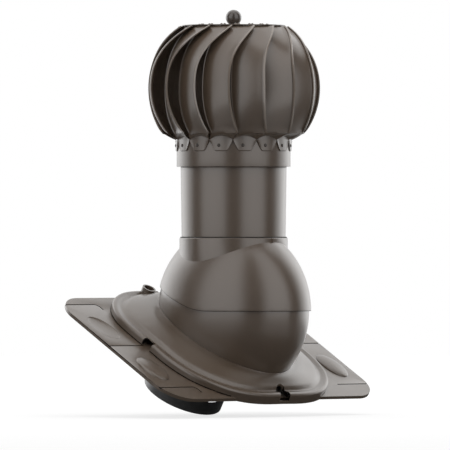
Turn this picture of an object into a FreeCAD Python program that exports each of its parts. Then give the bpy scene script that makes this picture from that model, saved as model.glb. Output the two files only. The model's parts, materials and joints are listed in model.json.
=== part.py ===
import FreeCAD, Part
import math
import os
import Sketcher

# Roof turbine ventilator for a 125 mm duct, drawn as it stands on a roof of 30 degrees.
# X runs across the slope, -Y is down the slope and +Z is up.
# The origin is where the duct spigot's axis passes the underside of the flashing plate.
# Lengths are millimetres and angles are degrees.

SIZES = [
    ("roof_pitch", 30, "slope of the roof that the plate lies on"),
    ("fit_gap", 0.3, "gap between pieces that pass each other"),
    ("pin_gap", 0.05, "radial running clearance of a pin in its hole"),
    ("snug_gap", 0.2, "gap between pieces of one assembly that sit in each other"),
    ("duct_radius", 62.5, "outside radius of the duct spigot and of the inner pipe"),
    ("plate_width", 450, "flashing plate across the slope"),
    ("plate_length", 300, "flashing plate along the slope"),
    ("plate_corner", 50, "corner radius of the plate"),
    ("plate_depth", 5, "depth of the plate over its turned edge"),
    ("plate_skin", 2.5, "thickness of the plate's top"),
    ("plate_edge", 4, "width of the plate's turned edge and ribs"),
    ("plate_boss", 80, "outside radius of the pad around the duct hole"),
    ("duct_offset", 31, "plate centre, down the slope from the duct axis"),
    ("emboss_across", 193, "oval embossings from the plate's centre line"),
    ("emboss_along", 61, "oval embossings up and down from the plate's centre"),
    ("emboss_half_width", 20, "half of an embossing across the slope"),
    ("emboss_half_length", 33, "half of an embossing along the slope"),
    ("emboss_rise", 5.5, "height of the raised embossings"),
    ("emboss_sink", 3.4, "depth of the sunk embossings"),
    ("emboss_wall", 1.5, "wall under a sunk embossing"),
    ("groove_width", 2, "width of the grooves in the plate"),
    ("groove_depth", 1.6, "depth of the grooves in the plate"),
    ("groove_spacing", 122.5, "grooves apart along the slope"),
    ("groove_shift", 7.6, "middle groove, up the slope from the plate's centre"),
    ("groove_end", 157, "inner end of the outer grooves from the centre line"),
    ("groove_hook", 8, "radius of the hook that ends a left groove"),
    ("groove_drop", 8, "straight part of that hook"),
    ("cowl_margin", 32.1, "cowl's foot outside the lower shell's long end, if both shared a centre"),
    ("cowl_front_corner", 118, "radius of the cowl's corners down the slope"),
    ("cowl_back_corner", 104, "radius of the cowl's corners up the slope"),
    ("cowl_offset", 4, "cowl centre, down the slope from the plate's centre"),
    ("cowl_lip", 12, "height of the cowl's lip over the plate"),
    ("cowl_wall", 2.5, "wall of the cowl"),
    ("cone_height", 28, "height over the plate where the cowl meets the shell"),
    ("bead_height", 5, "height of the rounded bead on the lip"),
    ("valley_dip", 2, "depth of the valley inside the bead"),
    ("valley_inset", 14, "valley in from the cowl's foot"),
    ("notch_width", 20, "width of the drain notches"),
    ("notch_reach", 21, "depth of the front and back drain notches into the cowl"),
    ("side_notch_reach", 14, "depth of the side drain notches into the cowl"),
    ("socket_across", 37, "round socket from the centre line"),
    ("socket_inset", 10, "round socket in from the back of the cowl"),
    ("socket_radius", 10.5, "outside radius of the round socket"),
    ("socket_bore", 7.8, "bore radius of the round socket"),
    ("socket_rise", 9, "round socket over the cowl's lip"),
    ("socket_depth", 9, "depth of the round socket's bore"),
    ("pivot_height", 64.2, "pitch pivot over the plate"),
    ("hood_radius", 133, "hood from the pivot axis to its outside"),
    ("hood_half_width", 100, "half of the hood along the pivot axis"),
    ("hood_wall", 2.5, "wall of the hood"),
    ("shell_gap", 0.5, "gap between the hood and the lower shell"),
    ("shell_wall", 2.5, "wall of the lower shell"),
    ("seam_corner", 17, "bend in the hood's edge, in front of the pivot"),
    ("seam_bend", 140, "radius of that bend"),
    ("seam_slope", 18.5, "rise of the hood's edge behind the bend"),
    ("mouth_height", 50, "lower shell's open edge over the pivot at the front"),
    ("mouth_slope", 23.5, "rise of that edge behind the pivot"),
    ("foot_width", 11, "foot flange outside the lower shell"),
    ("foot_thick", 3, "thickness of the foot flange"),
    ("gasket_thick", 1.5, "thickness of the gasket under the foot"),
    ("sleeve_top", 111, "top of the sleeve over the pivot"),
    ("sleeve_wall", 1.9, "wall of the sleeve"),
    ("seal_wall", 1.4, "room for the seal between the outer pipe and the sleeve"),
    ("seal_depth", 7, "depth of the seal in the sleeve"),
    ("seal_lip", 1.2, "thickness of the seal's lip over the sleeve's rim"),
    ("sleeve_round", 1.4, "rounding of the sleeve's top"),
    ("rib_width", 2, "width of the locating rib on the sleeve"),
    ("rib_rise", 1.6, "rib out of the sleeve"),
    ("pipe_foot_radius", 78.4, "outside radius of the outer pipe at its foot"),
    ("pipe_top_radius", 80.9, "outside radius of the outer pipe at its top"),
    ("pipe_wall", 1.2, "wall of the outer pipe"),
    ("pipe_foot", 52, "foot of the outer pipe over the pivot"),
    ("pipe_top", 234, "top of the outer pipe over the pivot"),
    ("inner_wall", 1, "wall of the inner pipe"),
    ("inner_drop", 20, "inner pipe below the pivot"),
    ("yoke_height", 6, "height of the pivot yoke's ring"),
    ("yoke_low", 54, "underside of the yoke's ring over the pivot"),
    ("yoke_screw_length", 6, "length of the yoke's screws under their heads"),
    ("ear_outer", 75, "outer face of the yoke's ears from the centre"),
    ("ear_thick", 4, "thickness of an ear"),
    ("ear_width", 24, "width of an ear"),
    ("pin_radius", 4, "radius of the pivot pins"),
    ("pin_head_radius", 7, "radius of a pivot pin's head"),
    ("pin_head_thick", 3.5, "thickness of a pivot pin's head"),
    ("pin_length", 22, "length of a pivot pin under its head"),
    ("boss_radius", 9, "radius of the bosses that hold the pivot pins"),
    ("cap_ring_low", 226, "underside of the upper ring over the pivot"),
    ("cap_ring_thick", 3, "thickness of the upper ring"),
    ("arm_width", 14, "width of the spider arms"),
    ("arm_thick", 3, "thickness of the axle spider's arms"),
    ("spider_reach", 74, "axle spider's arms from the centre"),
    ("spider_hub_radius", 12, "radius of the axle spider's hub"),
    ("spider_hub_height", 7, "axle spider's hub over its arms"),
    ("axle_seat_radius", 4, "radius of the axle at its bearings"),
    ("axle_radius", 5.5, "radius of the axle between its bearings"),
    ("axle_foot", 214, "lower end of the axle over the pivot"),
    ("axle_top", 424, "upper end of the axle over the pivot"),
    ("lower_bearing_low", 241, "underside of the lower bearing over the pivot"),
    ("upper_bearing_low", 410, "underside of the upper bearing over the pivot"),
    ("bearing_radius", 11, "outside radius of both bearings"),
    ("bearing_width", 7, "width of both bearings"),
    ("race_split", 6, "radius between a bearing's inner and outer part"),
    ("nut_flats", 13, "axle nuts across their flats"),
    ("nut_height", 5.5, "height of the lower axle nut"),
    ("locknut_height", 4, "height of the upper axle nut"),
    ("washer_radius", 8, "radius of the axle's washer"),
    ("washer_thick", 1.5, "thickness of the axle's washer"),
    ("rotor_radius", 129.3, "rotor at its widest"),
    ("belly_height", 339, "widest place of the rotor over the pivot"),
    ("crown_half", 120.5, "half height of the ellipse above the widest place"),
    ("skirt_half", 124.3, "half height of the ellipse below the widest place"),
    ("blade_count", 15, "number of blades"),
    ("blade_turn", -137.9, "first blade's outer edge at its widest, seen from above"),
    ("blade_thick", 0.8, "sheet of the blades"),
    ("blade_span", 23, "angle from a blade's outer to its inner edge"),
    ("blade_inner", 0.905, "inner edge's radius as a share of the outer edge's"),
    ("crown_twist", 26, "outer edge's turn from the widest place to the top"),
    ("skirt_twist", 6, "outer edge's turn from the widest place to the bottom"),
    ("lip_rise", 2.9, "flared lip of a blade, outward"),
    ("lip_run", 3.8, "flared lip of a blade, round the rotor"),
    ("blade_bottom", 269.5, "lower corner of the blades over the pivot"),
    ("tab_top", 262, "fold above a blade's lower tab, over the pivot"),
    ("tab_rivet_height", 251, "rivets in the lower tabs over the pivot"),
    ("tab_bottom", 241.5, "lower end of the tabs over the pivot"),
    ("tab_span", 23.4, "angle of a lower tab at its fold"),
    ("tab_lead", -0.3, "tab's leading side past the blade's outer edge"),
    ("ring_radius", 86.7, "outside radius of the collar ring"),
    ("ring_wall", 1, "wall of the collar ring"),
    ("ring_bottom", 219, "lower edge of the collar ring over the pivot"),
    ("ring_top", 260.5, "upper edge of the collar ring over the pivot"),
    ("band_low", 245, "lower edge of the lower rotor spider's band"),
    ("band_high", 257, "upper edge of that band"),
    ("band_wall", 1.5, "wall of that band"),
    ("rivet_radius", 1.6, "radius of the collar rivets"),
    ("rivet_head_radius", 3.2, "head radius of the collar rivets"),
    ("rivet_head_height", 1.6, "head height of the collar rivets"),
    ("disc_low", 433, "underside of the top disc over the pivot"),
    ("disc_radius", 78.3, "radius of the top disc"),
    ("disc_thick", 1.4, "thickness of the top disc"),
    ("top_tab_inner", 46, "inner end of a blade's top tab from the axis"),
    ("top_tab_width", 9, "width of a blade's top tab"),
    ("top_tab_turn", 9, "top tab past the blade's outer edge at its widest"),
    ("top_rivet_ring", 52, "radius of the ring of top rivets"),
    ("top_rivet_pair", 5, "distance between the two rivets of a tab"),
    ("top_rivet_radius", 1.1, "radius of the top rivets"),
    ("top_rivet_head", 2.3, "head radius of the top rivets"),
    ("top_rivet_height", 2.2, "head height of the top rivets"),
    ("housing_radius", 16, "radius of the upper bearing housing"),
    ("housing_flange", 30, "flange radius of the upper bearing housing"),
    ("housing_low", 405, "lower end of the upper bearing housing"),
    ("rotor_hub_radius", 15, "radius of the lower rotor hub"),
    ("ball_radius", 12, "radius of the finial ball"),
    ("ball_neck_radius", 6.5, "radius of the finial's foot"),
    ("ball_rise", 11.4, "centre of the finial ball over the top disc"),
    ("stud_radius", 3, "radius of the finial's stud"),
    ("stud_length", 8, "length of the finial's stud below the disc"),
    ("spigot_wall", 2.5, "wall of the duct spigot"),
    ("spigot_length", 96.6, "duct spigot below the plate"),
    ("spigot_flange_radius", 72, "radius of the spigot's flange"),
    ("spigot_flange_thick", 3, "thickness of the spigot's flange"),
    ("spigot_collar_radius", 64.5, "radius of the spigot in the plate's hole"),
    ("window_width", 19, "width of the spigot's latch window"),
    ("window_height", 30, "height of the spigot's latch window"),
    ("window_foot", 21, "latch window above the spigot's rim"),
    ("screw_radius", 2, "shank radius of the plate's screws"),
    ("screw_head_radius", 3.8, "head radius of the plate's screws"),
    ("screw_head_height", 2, "head height of the plate's screws"),
    ("post_radius", 5, "radius of the cowl's screw posts"),
    ("post_inset", 15, "side posts in from the cowl's foot"),
    ("post_spread", 70, "posts from the middle of a side"),
    ("post_clear", 2, "front posts inside the plate's turned edge"),
    ("rib_clear", 18.5, "long ribs under the plate inside the side posts"),
    ("rib_along", 99, "cross ribs under the plate up and down from its centre"),
    ("small_screw_radius", 1.5, "shank radius of the small screws"),
    ("small_head_radius", 3, "head radius of the small screws"),
    ("small_head_height", 1.8, "head height of the small screws"),
]

BLADE_LEVELS = 9
COWL_CORNER_STEPS = 4
CROWN_SWELL = 0.72
VERTICAL = FreeCAD.Vector(0, 0, 1)
ACROSS = FreeCAD.Vector(1, 0, 0)

doc = FreeCAD.newDocument("roof_turbine_ventilator")
sheet = doc.addObject("Spreadsheet::Sheet", "sizes")
for row, (alias, number, meaning) in enumerate(SIZES, start=1):
    sheet.set("A%d" % row, meaning)
    sheet.set("B%d" % row, str(number))
    sheet.setAlias("B%d" % row, alias)
doc.recompute()


class Size:
    """A length or angle: its number now, and the expression on the sheet that gives it."""

    def __init__(self, number, text):
        self.number = float(number)
        self.text = text

    def __float__(self):
        return self.number

    def __add__(self, other):
        other = as_size(other)
        return Size(self.number + other.number, "(%s + %s)" % (self.text, other.text))

    def __radd__(self, other):
        return as_size(other) + self

    def __sub__(self, other):
        other = as_size(other)
        return Size(self.number - other.number, "(%s - %s)" % (self.text, other.text))

    def __rsub__(self, other):
        return as_size(other) - self

    def __mul__(self, other):
        other = as_size(other)
        return Size(self.number * other.number, "(%s * %s)" % (self.text, other.text))

    def __rmul__(self, other):
        return as_size(other) * self

    def __truediv__(self, other):
        other = as_size(other)
        return Size(self.number / other.number, "(%s / %s)" % (self.text, other.text))

    def __neg__(self):
        return Size(-self.number, "(-%s)" % self.text)


def as_size(value):
    """A plain number as a Size."""
    if isinstance(value, Size):
        return value
    return Size(value, "%r" % value)


class Sheet:
    """The sheet's cells by name."""

    def __getattr__(self, alias):
        return Size(sheet.get(alias), "sizes.%s" % alias)


z = Sheet()


# Places of the three assemblies

def turned_about_x(angle):
    return FreeCAD.Rotation(ACROSS, float(angle))


PLATE_FRAME = FreeCAD.Placement(FreeCAD.Vector(0, 0, 0), turned_about_x(z.roof_pitch))
PIVOT_IN_PLATE = FreeCAD.Vector(0, -float(z.duct_offset), float(z.plate_depth + z.pivot_height))
PIVOT = PLATE_FRAME.multVec(PIVOT_IN_PLATE)
STACK_FRAME = FreeCAD.Placement(PIVOT, FreeCAD.Rotation())

nodes = []


def keep(item, label, place):
    """Names a finished sub-part, puts it in its place and lists it for export."""
    item.Label = label
    item.Placement = place
    nodes.append(item)
    return item


# Drawing helpers

def bind(item, **sizes):
    """Binds an object's properties to the sheet."""
    for name, size in sizes.items():
        item.setExpression(name, as_size(size).text)
    return item


def place_at(item, across=0, along=0, up=0, turn=None):
    """Places an object inside its sub-part, with its position bound to the sheet."""
    if turn is not None:
        item.Placement = FreeCAD.Placement(FreeCAD.Vector(0, 0, 0), turn)
    item.setExpression("Placement.Base.x", as_size(across).text)
    item.setExpression("Placement.Base.y", as_size(along).text)
    item.setExpression("Placement.Base.z", as_size(up).text)
    return item


def new_body(name):
    return doc.addObject("PartDesign::Body", name)


def origin_feature(body, role):
    return [item for item in body.Origin.OriginFeatures if item.Role == role][0]


def outline(body, name, plane, corners):
    """A closed outline of straight sides on one of the body's own planes."""
    sketch = body.newObject("Sketcher::SketchObject", name)
    sketch.AttachmentSupport = [(origin_feature(body, plane), "")]
    sketch.MapMode = "FlatFace"
    points = [FreeCAD.Vector(float(across), float(up), 0) for across, up in corners]
    count = len(points)
    for index in range(count):
        sketch.addGeometry(Part.LineSegment(points[index], points[(index + 1) % count]), False)
    for index in range(count):
        sketch.addConstraint(Sketcher.Constraint("Coincident", index, 2, (index + 1) % count, 1))
    for index, (across, up) in enumerate(corners):
        pin_point(sketch, index, "DistanceX", across)
        pin_point(sketch, index, "DistanceY", up)
    return sketch


def pin_point(sketch, index, kind, size):
    """Holds a line's first point at a distance from the sketch's origin."""
    size = as_size(size)
    if size.text in ("0", "0.0"):
        axis = -2 if kind == "DistanceX" else -1
        sketch.addConstraint(Sketcher.Constraint("PointOnObject", index, 1, axis))
        return
    number = sketch.addConstraint(Sketcher.Constraint(kind, -1, 1, index, 1, float(size)))
    sketch.setExpression("Constraints[%d]" % number, size.text)


def circles(body, name, plane, radii, centre=(0, 0)):
    """Circles about one centre on one of the body's own planes."""
    sketch = body.newObject("Sketcher::SketchObject", name)
    sketch.AttachmentSupport = [(origin_feature(body, plane), "")]
    sketch.MapMode = "FlatFace"
    middle = FreeCAD.Vector(float(centre[0]), float(centre[1]), 0)
    for index, radius in enumerate(radii):
        sketch.addGeometry(Part.Circle(middle, VERTICAL, float(radius)), False)
        pin_centre(sketch, index, "DistanceX", centre[0])
        pin_centre(sketch, index, "DistanceY", centre[1])
        number = sketch.addConstraint(Sketcher.Constraint("Radius", index, float(radius)))
        sketch.setExpression("Constraints[%d]" % number, as_size(radius).text)
    return sketch


def pin_centre(sketch, index, kind, size):
    size = as_size(size)
    if size.text in ("0", "0.0"):
        axis = -2 if kind == "DistanceX" else -1
        sketch.addConstraint(Sketcher.Constraint("PointOnObject", index, 3, axis))
        return
    number = sketch.addConstraint(Sketcher.Constraint(kind, -1, 1, index, 3, float(size)))
    sketch.setExpression("Constraints[%d]" % number, size.text)


def revolve(body, sketch, name):
    turn = body.newObject("PartDesign::Revolution", name)
    turn.Profile = sketch
    turn.ReferenceAxis = (sketch, ["V_Axis"])
    turn.Angle = 360
    return turn


def pad(body, sketch, name, length, offset=None, midplane=False):
    feature = body.newObject("PartDesign::Pad", name)
    feature.Profile = sketch
    bind(feature, Length=length)
    feature.Midplane = midplane
    if offset is not None:
        sketch.setExpression("AttachmentOffset.Base.z", as_size(offset).text)
    return feature


def pocket(body, sketch, name, length, offset=None, midplane=False, reverse=False):
    feature = body.newObject("PartDesign::Pocket", name)
    feature.Profile = sketch
    bind(feature, Length=length)
    feature.Midplane = midplane
    feature.Reversed = reverse
    if offset is not None:
        sketch.setExpression("AttachmentOffset.Base.z", as_size(offset).text)
    return feature


def polar(body, feature, name, count):
    """Repeats a feature about the body's own Z axis."""
    pattern = body.newObject("PartDesign::PolarPattern", name)
    pattern.Originals = [feature]
    pattern.Axis = (origin_feature(body, "Z_Axis"), [""])
    pattern.Angle = 360
    bind(pattern, Occurrences=count)
    body.Tip = pattern
    return pattern


def turned(label, profile, place):
    """A turned piece: a profile of (radius, height) corners, revolved about Z."""
    body = new_body(label)
    sketch = outline(body, label + "_profile", "XZ_Plane", profile)
    revolve(body, sketch, label + "_turned")
    return keep(body, label, place)


def ring_profile(inner, outer, low, high):
    return [(inner, low), (outer, low), (outer, high), (inner, high)]


def box(name, width, depth, height):
    return bind(doc.addObject("Part::Box", name), Length=width, Width=depth, Height=height)


def cylinder(name, radius, height):
    return bind(doc.addObject("Part::Cylinder", name), Radius=radius, Height=height)


def ellipsoid(name, half_across, radius):
    """An egg shape: an ellipse turned about the X axis."""
    return bind(doc.addObject("Part::Ellipsoid", name), Radius1=radius, Radius2=half_across, Radius3=radius)


def cut(name, base, tool):
    item = doc.addObject("Part::Cut", name)
    item.Base = base
    item.Tool = tool
    return item


def fuse(name, pieces):
    item = doc.addObject("Part::MultiFuse", name)
    item.Shapes = pieces
    item.Refine = True
    return item


def edges_of(shape, wanted):
    """Numbers of a shape's edges that the test picks."""
    return [index for index, edge in enumerate(shape.Edges, start=1) if wanted(edge)]


def copies(label, shape, places, frame):
    """Like pieces in one sub-part, each a solid of its own."""
    solids = []
    for spot in places:
        solid = shape.copy()
        solid.Placement = spot.multiply(solid.Placement)
        solids.append(solid)
    item = doc.addObject("Part::Feature", label)
    item.Shape = Part.makeCompound(solids)
    return keep(item, label, frame)


def screw_shape(shank_radius, shank_length, head_radius, head_height):
    """A screw along +Z with its head on top, and the head's underside at 0."""
    shank = Part.makeCylinder(float(shank_radius), float(shank_length), FreeCAD.Vector(0, 0, -float(shank_length)))
    head = Part.makeCone(float(head_radius), float(head_radius) * 0.62, float(head_height))
    return shank.fuse(head).removeSplitter()


def ring_places(radius, height, count, start=0.0, flip=False):
    """Places on a circle about Z, each looking up, or down if flipped."""
    spots = []
    for index in range(int(count)):
        angle = start + 360.0 * index / int(count)
        spin = FreeCAD.Rotation(VERTICAL, angle)
        if flip:
            spin = spin.multiply(FreeCAD.Rotation(ACROSS, 180))
        spot = FreeCAD.Rotation(VERTICAL, angle).multVec(FreeCAD.Vector(float(radius), 0, 0))
        spots.append(FreeCAD.Placement(spot + FreeCAD.Vector(0, 0, float(height)), spin))
    return spots


def radial_places(radius, height, count, start=0.0):
    """Places on a circle about Z, each looking straight out."""
    spots = []
    lie_down = FreeCAD.Rotation(FreeCAD.Vector(0, 1, 0), 90)
    for index in range(int(count)):
        spin = FreeCAD.Rotation(VERTICAL, start + 360.0 * index / int(count))
        spot = spin.multVec(FreeCAD.Vector(float(radius), 0, float(height)))
        spots.append(FreeCAD.Placement(spot, spin.multiply(lie_down)))
    return spots


# Flashing plate

PLATE_CENTRE = -z.duct_offset
SPIGOT_SCREWS = 4
SPIGOT_SCREW_START = 45.0
spigot_screw_ring = (z.spigot_flange_radius + z.spigot_collar_radius) / 2


def rounded_plate(name, width, length, corner, low, depth):
    """A slab with rounded corners, centred on the plate."""
    slab = place_at(box(name + "_slab", width, length, depth), -width / 2, PLATE_CENTRE - length / 2, low)
    doc.recompute()
    rounded = doc.addObject("Part::Fillet", name)
    rounded.Base = slab
    upright = edges_of(slab.Shape, is_upright)
    rounded.Edges = [(number, float(corner), float(corner)) for number in upright]
    return rounded


def is_upright(edge):
    first, last = edge.Vertexes[0].Point, edge.Vertexes[-1].Point
    return abs(first.x - last.x) < 1e-6 and abs(first.y - last.y) < 1e-6


def oval(name, half_width, half_length, rise):
    return bind(doc.addObject("Part::Ellipsoid", name), Radius1=rise, Radius2=half_width, Radius3=half_length)


def groove_shape(outer_end, inner_end, across, hooked):
    """A groove along X; a hooked one bends down the slope at its inner end."""
    half = float(z.groove_width) / 2
    depth = float(z.groove_depth)
    low = float(z.plate_depth) - depth
    start = min(outer_end, inner_end)
    straight = Part.makeBox(abs(outer_end - inner_end), 2 * half, 2 * depth, FreeCAD.Vector(start, across - half, low))
    if not hooked:
        return straight
    bend = float(z.groove_hook)
    centre = FreeCAD.Vector(inner_end, across - bend, low)
    outer = Part.makeCylinder(bend + half, 2 * depth, centre, VERTICAL, 90)
    inner = Part.makeCylinder(bend - half, 2 * depth, centre, VERTICAL, 90)
    drop = float(z.groove_drop)
    tail = Part.makeBox(2 * half, drop, 2 * depth, FreeCAD.Vector(inner_end + bend - half, across - bend - drop, low))
    return straight.fuse([outer.cut(inner), tail])


def make_grooves():
    """All grooves of the plate in one shape: three on the left and two on the right."""
    edge = float(z.plate_width) / 2 + 1
    inner = float(z.groove_end)
    middle = float(PLATE_CENTRE + z.groove_shift)
    spacing = float(z.groove_spacing)
    under_cowl = float(COWL_HALF - z.cowl_wall)
    shapes = [
        groove_shape(-edge, -inner, middle + spacing, True),
        groove_shape(-edge, -under_cowl, middle, False),
        groove_shape(-edge, -inner, middle - spacing, True),
        groove_shape(edge, inner, middle + spacing, False),
        groove_shape(edge, under_cowl, middle, False),
        groove_shape(edge, inner, middle - spacing, False),
    ]
    item = doc.addObject("Part::Feature", "plate_grooves")
    item.Shape = Part.makeCompound(shapes)
    return item


def make_roof_plate():
    """Moulded flashing plate with a turned edge, ribs below and four oval embossings."""
    top = rounded_plate("plate_blank", z.plate_width, z.plate_length, z.plate_corner, 0, z.plate_depth)
    hollow_depth = z.plate_depth - z.plate_skin
    hollow = rounded_plate("plate_hollow_blank", z.plate_width - 2 * z.plate_edge, z.plate_length - 2 * z.plate_edge,
                           z.plate_corner - z.plate_edge, -1, hollow_depth + 1)
    ribs = [cylinder("plate_pad", z.plate_boss, z.plate_depth)]
    rib_across = COWL_HALF - z.post_inset - z.rib_clear
    for side, turn in (("left", -1), ("right", 1)):
        rib = box("plate_rib_" + side, z.plate_edge, z.plate_length, z.plate_depth)
        ribs.append(place_at(rib, turn * rib_across - z.plate_edge / 2, PLATE_CENTRE - z.plate_length / 2, 0))
    for side, turn in (("lower", -1), ("upper", 1)):
        rib = box("plate_rib_" + side, z.plate_width, z.plate_edge, z.plate_depth)
        ribs.append(place_at(rib, -z.plate_width / 2, PLATE_CENTRE + turn * z.rib_along - z.plate_edge / 2, 0))
    hollow = cut("plate_hollow", hollow, fuse("plate_ribs", ribs))
    plate = cut("plate_shell", top, hollow)
    raised = []
    pressed = []
    sunk = []
    backing = []
    for side, turn in (("left", -1), ("right", 1)):
        across = turn * z.emboss_across
        raised.append(place_at(oval("raised_" + side, z.emboss_half_width, z.emboss_half_length, z.emboss_rise),
                               across, PLATE_CENTRE - z.emboss_along, z.plate_depth))
        pressed.append(place_at(oval("pressed_" + side, z.emboss_half_width - z.plate_skin,
                                     z.emboss_half_length - z.plate_skin, z.emboss_rise),
                                across, PLATE_CENTRE - z.emboss_along, z.plate_depth - z.plate_skin))
        sunk.append(place_at(oval("sunk_" + side, z.emboss_half_width, z.emboss_half_length, z.emboss_sink),
                             across, PLATE_CENTRE + z.emboss_along, z.plate_depth))
        backing.append(place_at(oval("backing_" + side, z.emboss_half_width + z.emboss_wall,
                                     z.emboss_half_length + z.emboss_wall, z.emboss_sink + z.emboss_wall),
                                across, PLATE_CENTRE + z.emboss_along, z.plate_depth))
    above = place_at(box("above_plate", z.plate_width, z.plate_length, z.plate_depth),
                     -z.plate_width / 2, PLATE_CENTRE - z.plate_length / 2, z.plate_depth)
    backing = cut("backing_below", fuse("backings", backing), above)
    plate = fuse("plate_embossed", [plate, backing] + raised)
    holes = [cylinder("duct_hole", z.spigot_collar_radius + z.fit_gap, 4 * z.plate_depth)]
    place_at(holes[0], 0, 0, -z.plate_depth)
    plate = cut("plate_sunk", plate, fuse("plate_openings", holes + sunk + pressed))
    plate = cut("plate_grooved", plate, make_grooves())
    drills = doc.addObject("Part::Feature", "plate_drillings")
    drills.Shape = Part.makeCompound(plate_drillings())
    keep(cut("roof_plate", plate, drills), "roof_plate", PLATE_FRAME)


def plate_drillings():
    """Screw holes through the plate."""
    depth = float(z.plate_depth)
    through = Part.makeCylinder(float(z.screw_radius + z.pin_gap), 4 * depth, FreeCAD.Vector(0, 0, -2 * depth))
    spots = ring_places(spigot_screw_ring, 0, SPIGOT_SCREWS, SPIGOT_SCREW_START)
    spots += cowl_screw_places() + foot_screw_places()
    shapes = []
    for spot in spots:
        hole = through.copy()
        hole.Placement = FreeCAD.Placement(FreeCAD.Vector(spot.Base.x, spot.Base.y, 0), FreeCAD.Rotation())
        shapes.append(hole)
    return shapes


def cowl_screw_places():
    """Six screws that come up through the plate into the cowl's posts."""
    middle = float(COWL_CENTRE)
    reach = float(COWL_HALF - z.post_inset)
    half = float(z.post_spread)
    front = float(PLATE_CENTRE - z.plate_length / 2 + z.plate_edge + z.post_radius + z.post_clear)
    spots = []
    for across, along in ((-reach, middle + half), (-reach, middle - half), (reach, middle + half),
                          (reach, middle - half), (-half, front), (half, front)):
        spots.append(FreeCAD.Placement(FreeCAD.Vector(across, along, 0), FreeCAD.Rotation()))
    return spots


# Lower shell's foot ellipse

foot_depth = z.pivot_height - z.gasket_thick
shell_radius = z.hood_radius - z.hood_wall - z.shell_gap
shell_half_width = z.hood_half_width - z.hood_wall - z.shell_gap


def ellipse_at(depth, half_across, radius, grow=0.0):
    """Half sizes of the egg shape's section at a depth below the pivot."""
    share = math.sqrt(1 - (float(depth) / float(radius)) ** 2)
    return float(half_across) * share + grow, float(radius) * share + grow


def foot_screw_places():
    """Six screws through the lower shell's foot, spread round its ellipse."""
    inner = ellipse_at(foot_depth, shell_half_width, shell_radius, float(z.foot_width) / 2)
    centre = -float(z.duct_offset)
    spots = []
    for index in range(6):
        angle = math.radians(30 + 60 * index)
        spot = FreeCAD.Vector(inner[0] * math.cos(angle), centre + inner[1] * math.sin(angle), 0)
        spots.append(FreeCAD.Placement(spot, FreeCAD.Rotation()))
    return spots


def ellipse_prism(half_across, half_along, low, height):
    """An upright prism over an ellipse whose long axis runs along Y."""
    centre = FreeCAD.Vector(0, 0, float(low))
    curve = Part.Ellipse(centre + FreeCAD.Vector(0, half_along, 0), centre + FreeCAD.Vector(-half_across, 0, 0), centre)
    return Part.Face(Part.Wire(curve.toShape())).extrude(FreeCAD.Vector(0, 0, float(height)))


# Cowl

COWL_CENTRE = -(z.duct_offset + z.cowl_offset)
COWL_HALF = ellipse_at(z.pivot_height - z.cone_height, shell_half_width, shell_radius)[1] + z.cowl_margin


def cowl_outline(inset):
    """Points round the square with rounded corners, drawn in by an inset; first the corners up the slope."""
    points = []
    for quarter, radius in enumerate((z.cowl_back_corner, z.cowl_back_corner,
                                      z.cowl_front_corner, z.cowl_front_corner)):
        straight = float(COWL_HALF - radius)
        corner = float(radius) - inset
        spin = FreeCAD.Rotation(VERTICAL, 90 * quarter)
        points.append(spin.multVec(FreeCAD.Vector(straight + corner, 0, 0)))
        for step in range(COWL_CORNER_STEPS + 1):
            angle = math.radians(90.0 * step / COWL_CORNER_STEPS)
            spot = FreeCAD.Vector(straight + corner * math.cos(angle), straight + corner * math.sin(angle), 0)
            points.append(spin.multVec(spot))
    return points


def cowl_section(inset, height, blend, grow):
    """One closed section of the cowl: the square outline blended into the shell's ellipse."""
    half_across, half_along = ellipse_at(z.pivot_height - z.cone_height, shell_half_width, shell_radius, grow)
    shift = float(z.cowl_offset)
    points = []
    for spot in cowl_outline(inset):
        angle = math.atan2(spot.y * half_across, spot.x * half_along)
        target = FreeCAD.Vector(half_across * math.cos(angle), shift + half_along * math.sin(angle), 0)
        place = spot * (1 - blend) + target * blend
        points.append(FreeCAD.Vector(place.x, place.y + float(COWL_CENTRE), height))
    curve = Part.BSplineCurve()
    count = len(points)
    curve.interpolate(Points=points, Parameters=[i / count for i in range(count + 1)], PeriodicFlag=True)
    return Part.Wire(curve.toShape())


def cowl_solid(inward, foot_low):
    """The cowl's outer form, or with an inward wall the hollow under it."""
    lip = float(z.plate_depth + z.cowl_lip) - inward
    bead = float(z.bead_height)
    dip = float(z.valley_dip)
    rim = float(z.plate_depth + z.cone_height) - inward
    valley = float(z.valley_inset)
    wires = [cowl_section(inward, height, 0.0, 0.0) for height in (foot_low, lip - bead)]
    wall = Part.makeLoft(wires, True, True)
    wires = [cowl_section(inward, lip - bead, 0.0, 0.0)]
    for share, drop in ((0.04, 0.5 * bead), (0.16, 0.16 * bead), (0.38, 0.0), (0.6, 0.3 * dip), (0.8, 0.8 * dip),
                        (1.0, dip)):
        wires.append(cowl_section(inward + share * valley, lip - drop, 0.0, 0.0))
    for blend in (0.12, 0.3, 0.55, 0.8, 1.0):
        height = lip - dip + (rim - lip + dip) * blend ** CROWN_SWELL
        wires.append(cowl_section(inward + valley, height, blend, float(z.snug_gap) * 2))
    wires.append(cowl_section(inward + valley, rim + 1, 1.0, -float(z.cowl_wall)))
    crown = Part.makeLoft(wires, True, False)
    return wall.fuse(crown).removeSplitter()


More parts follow.
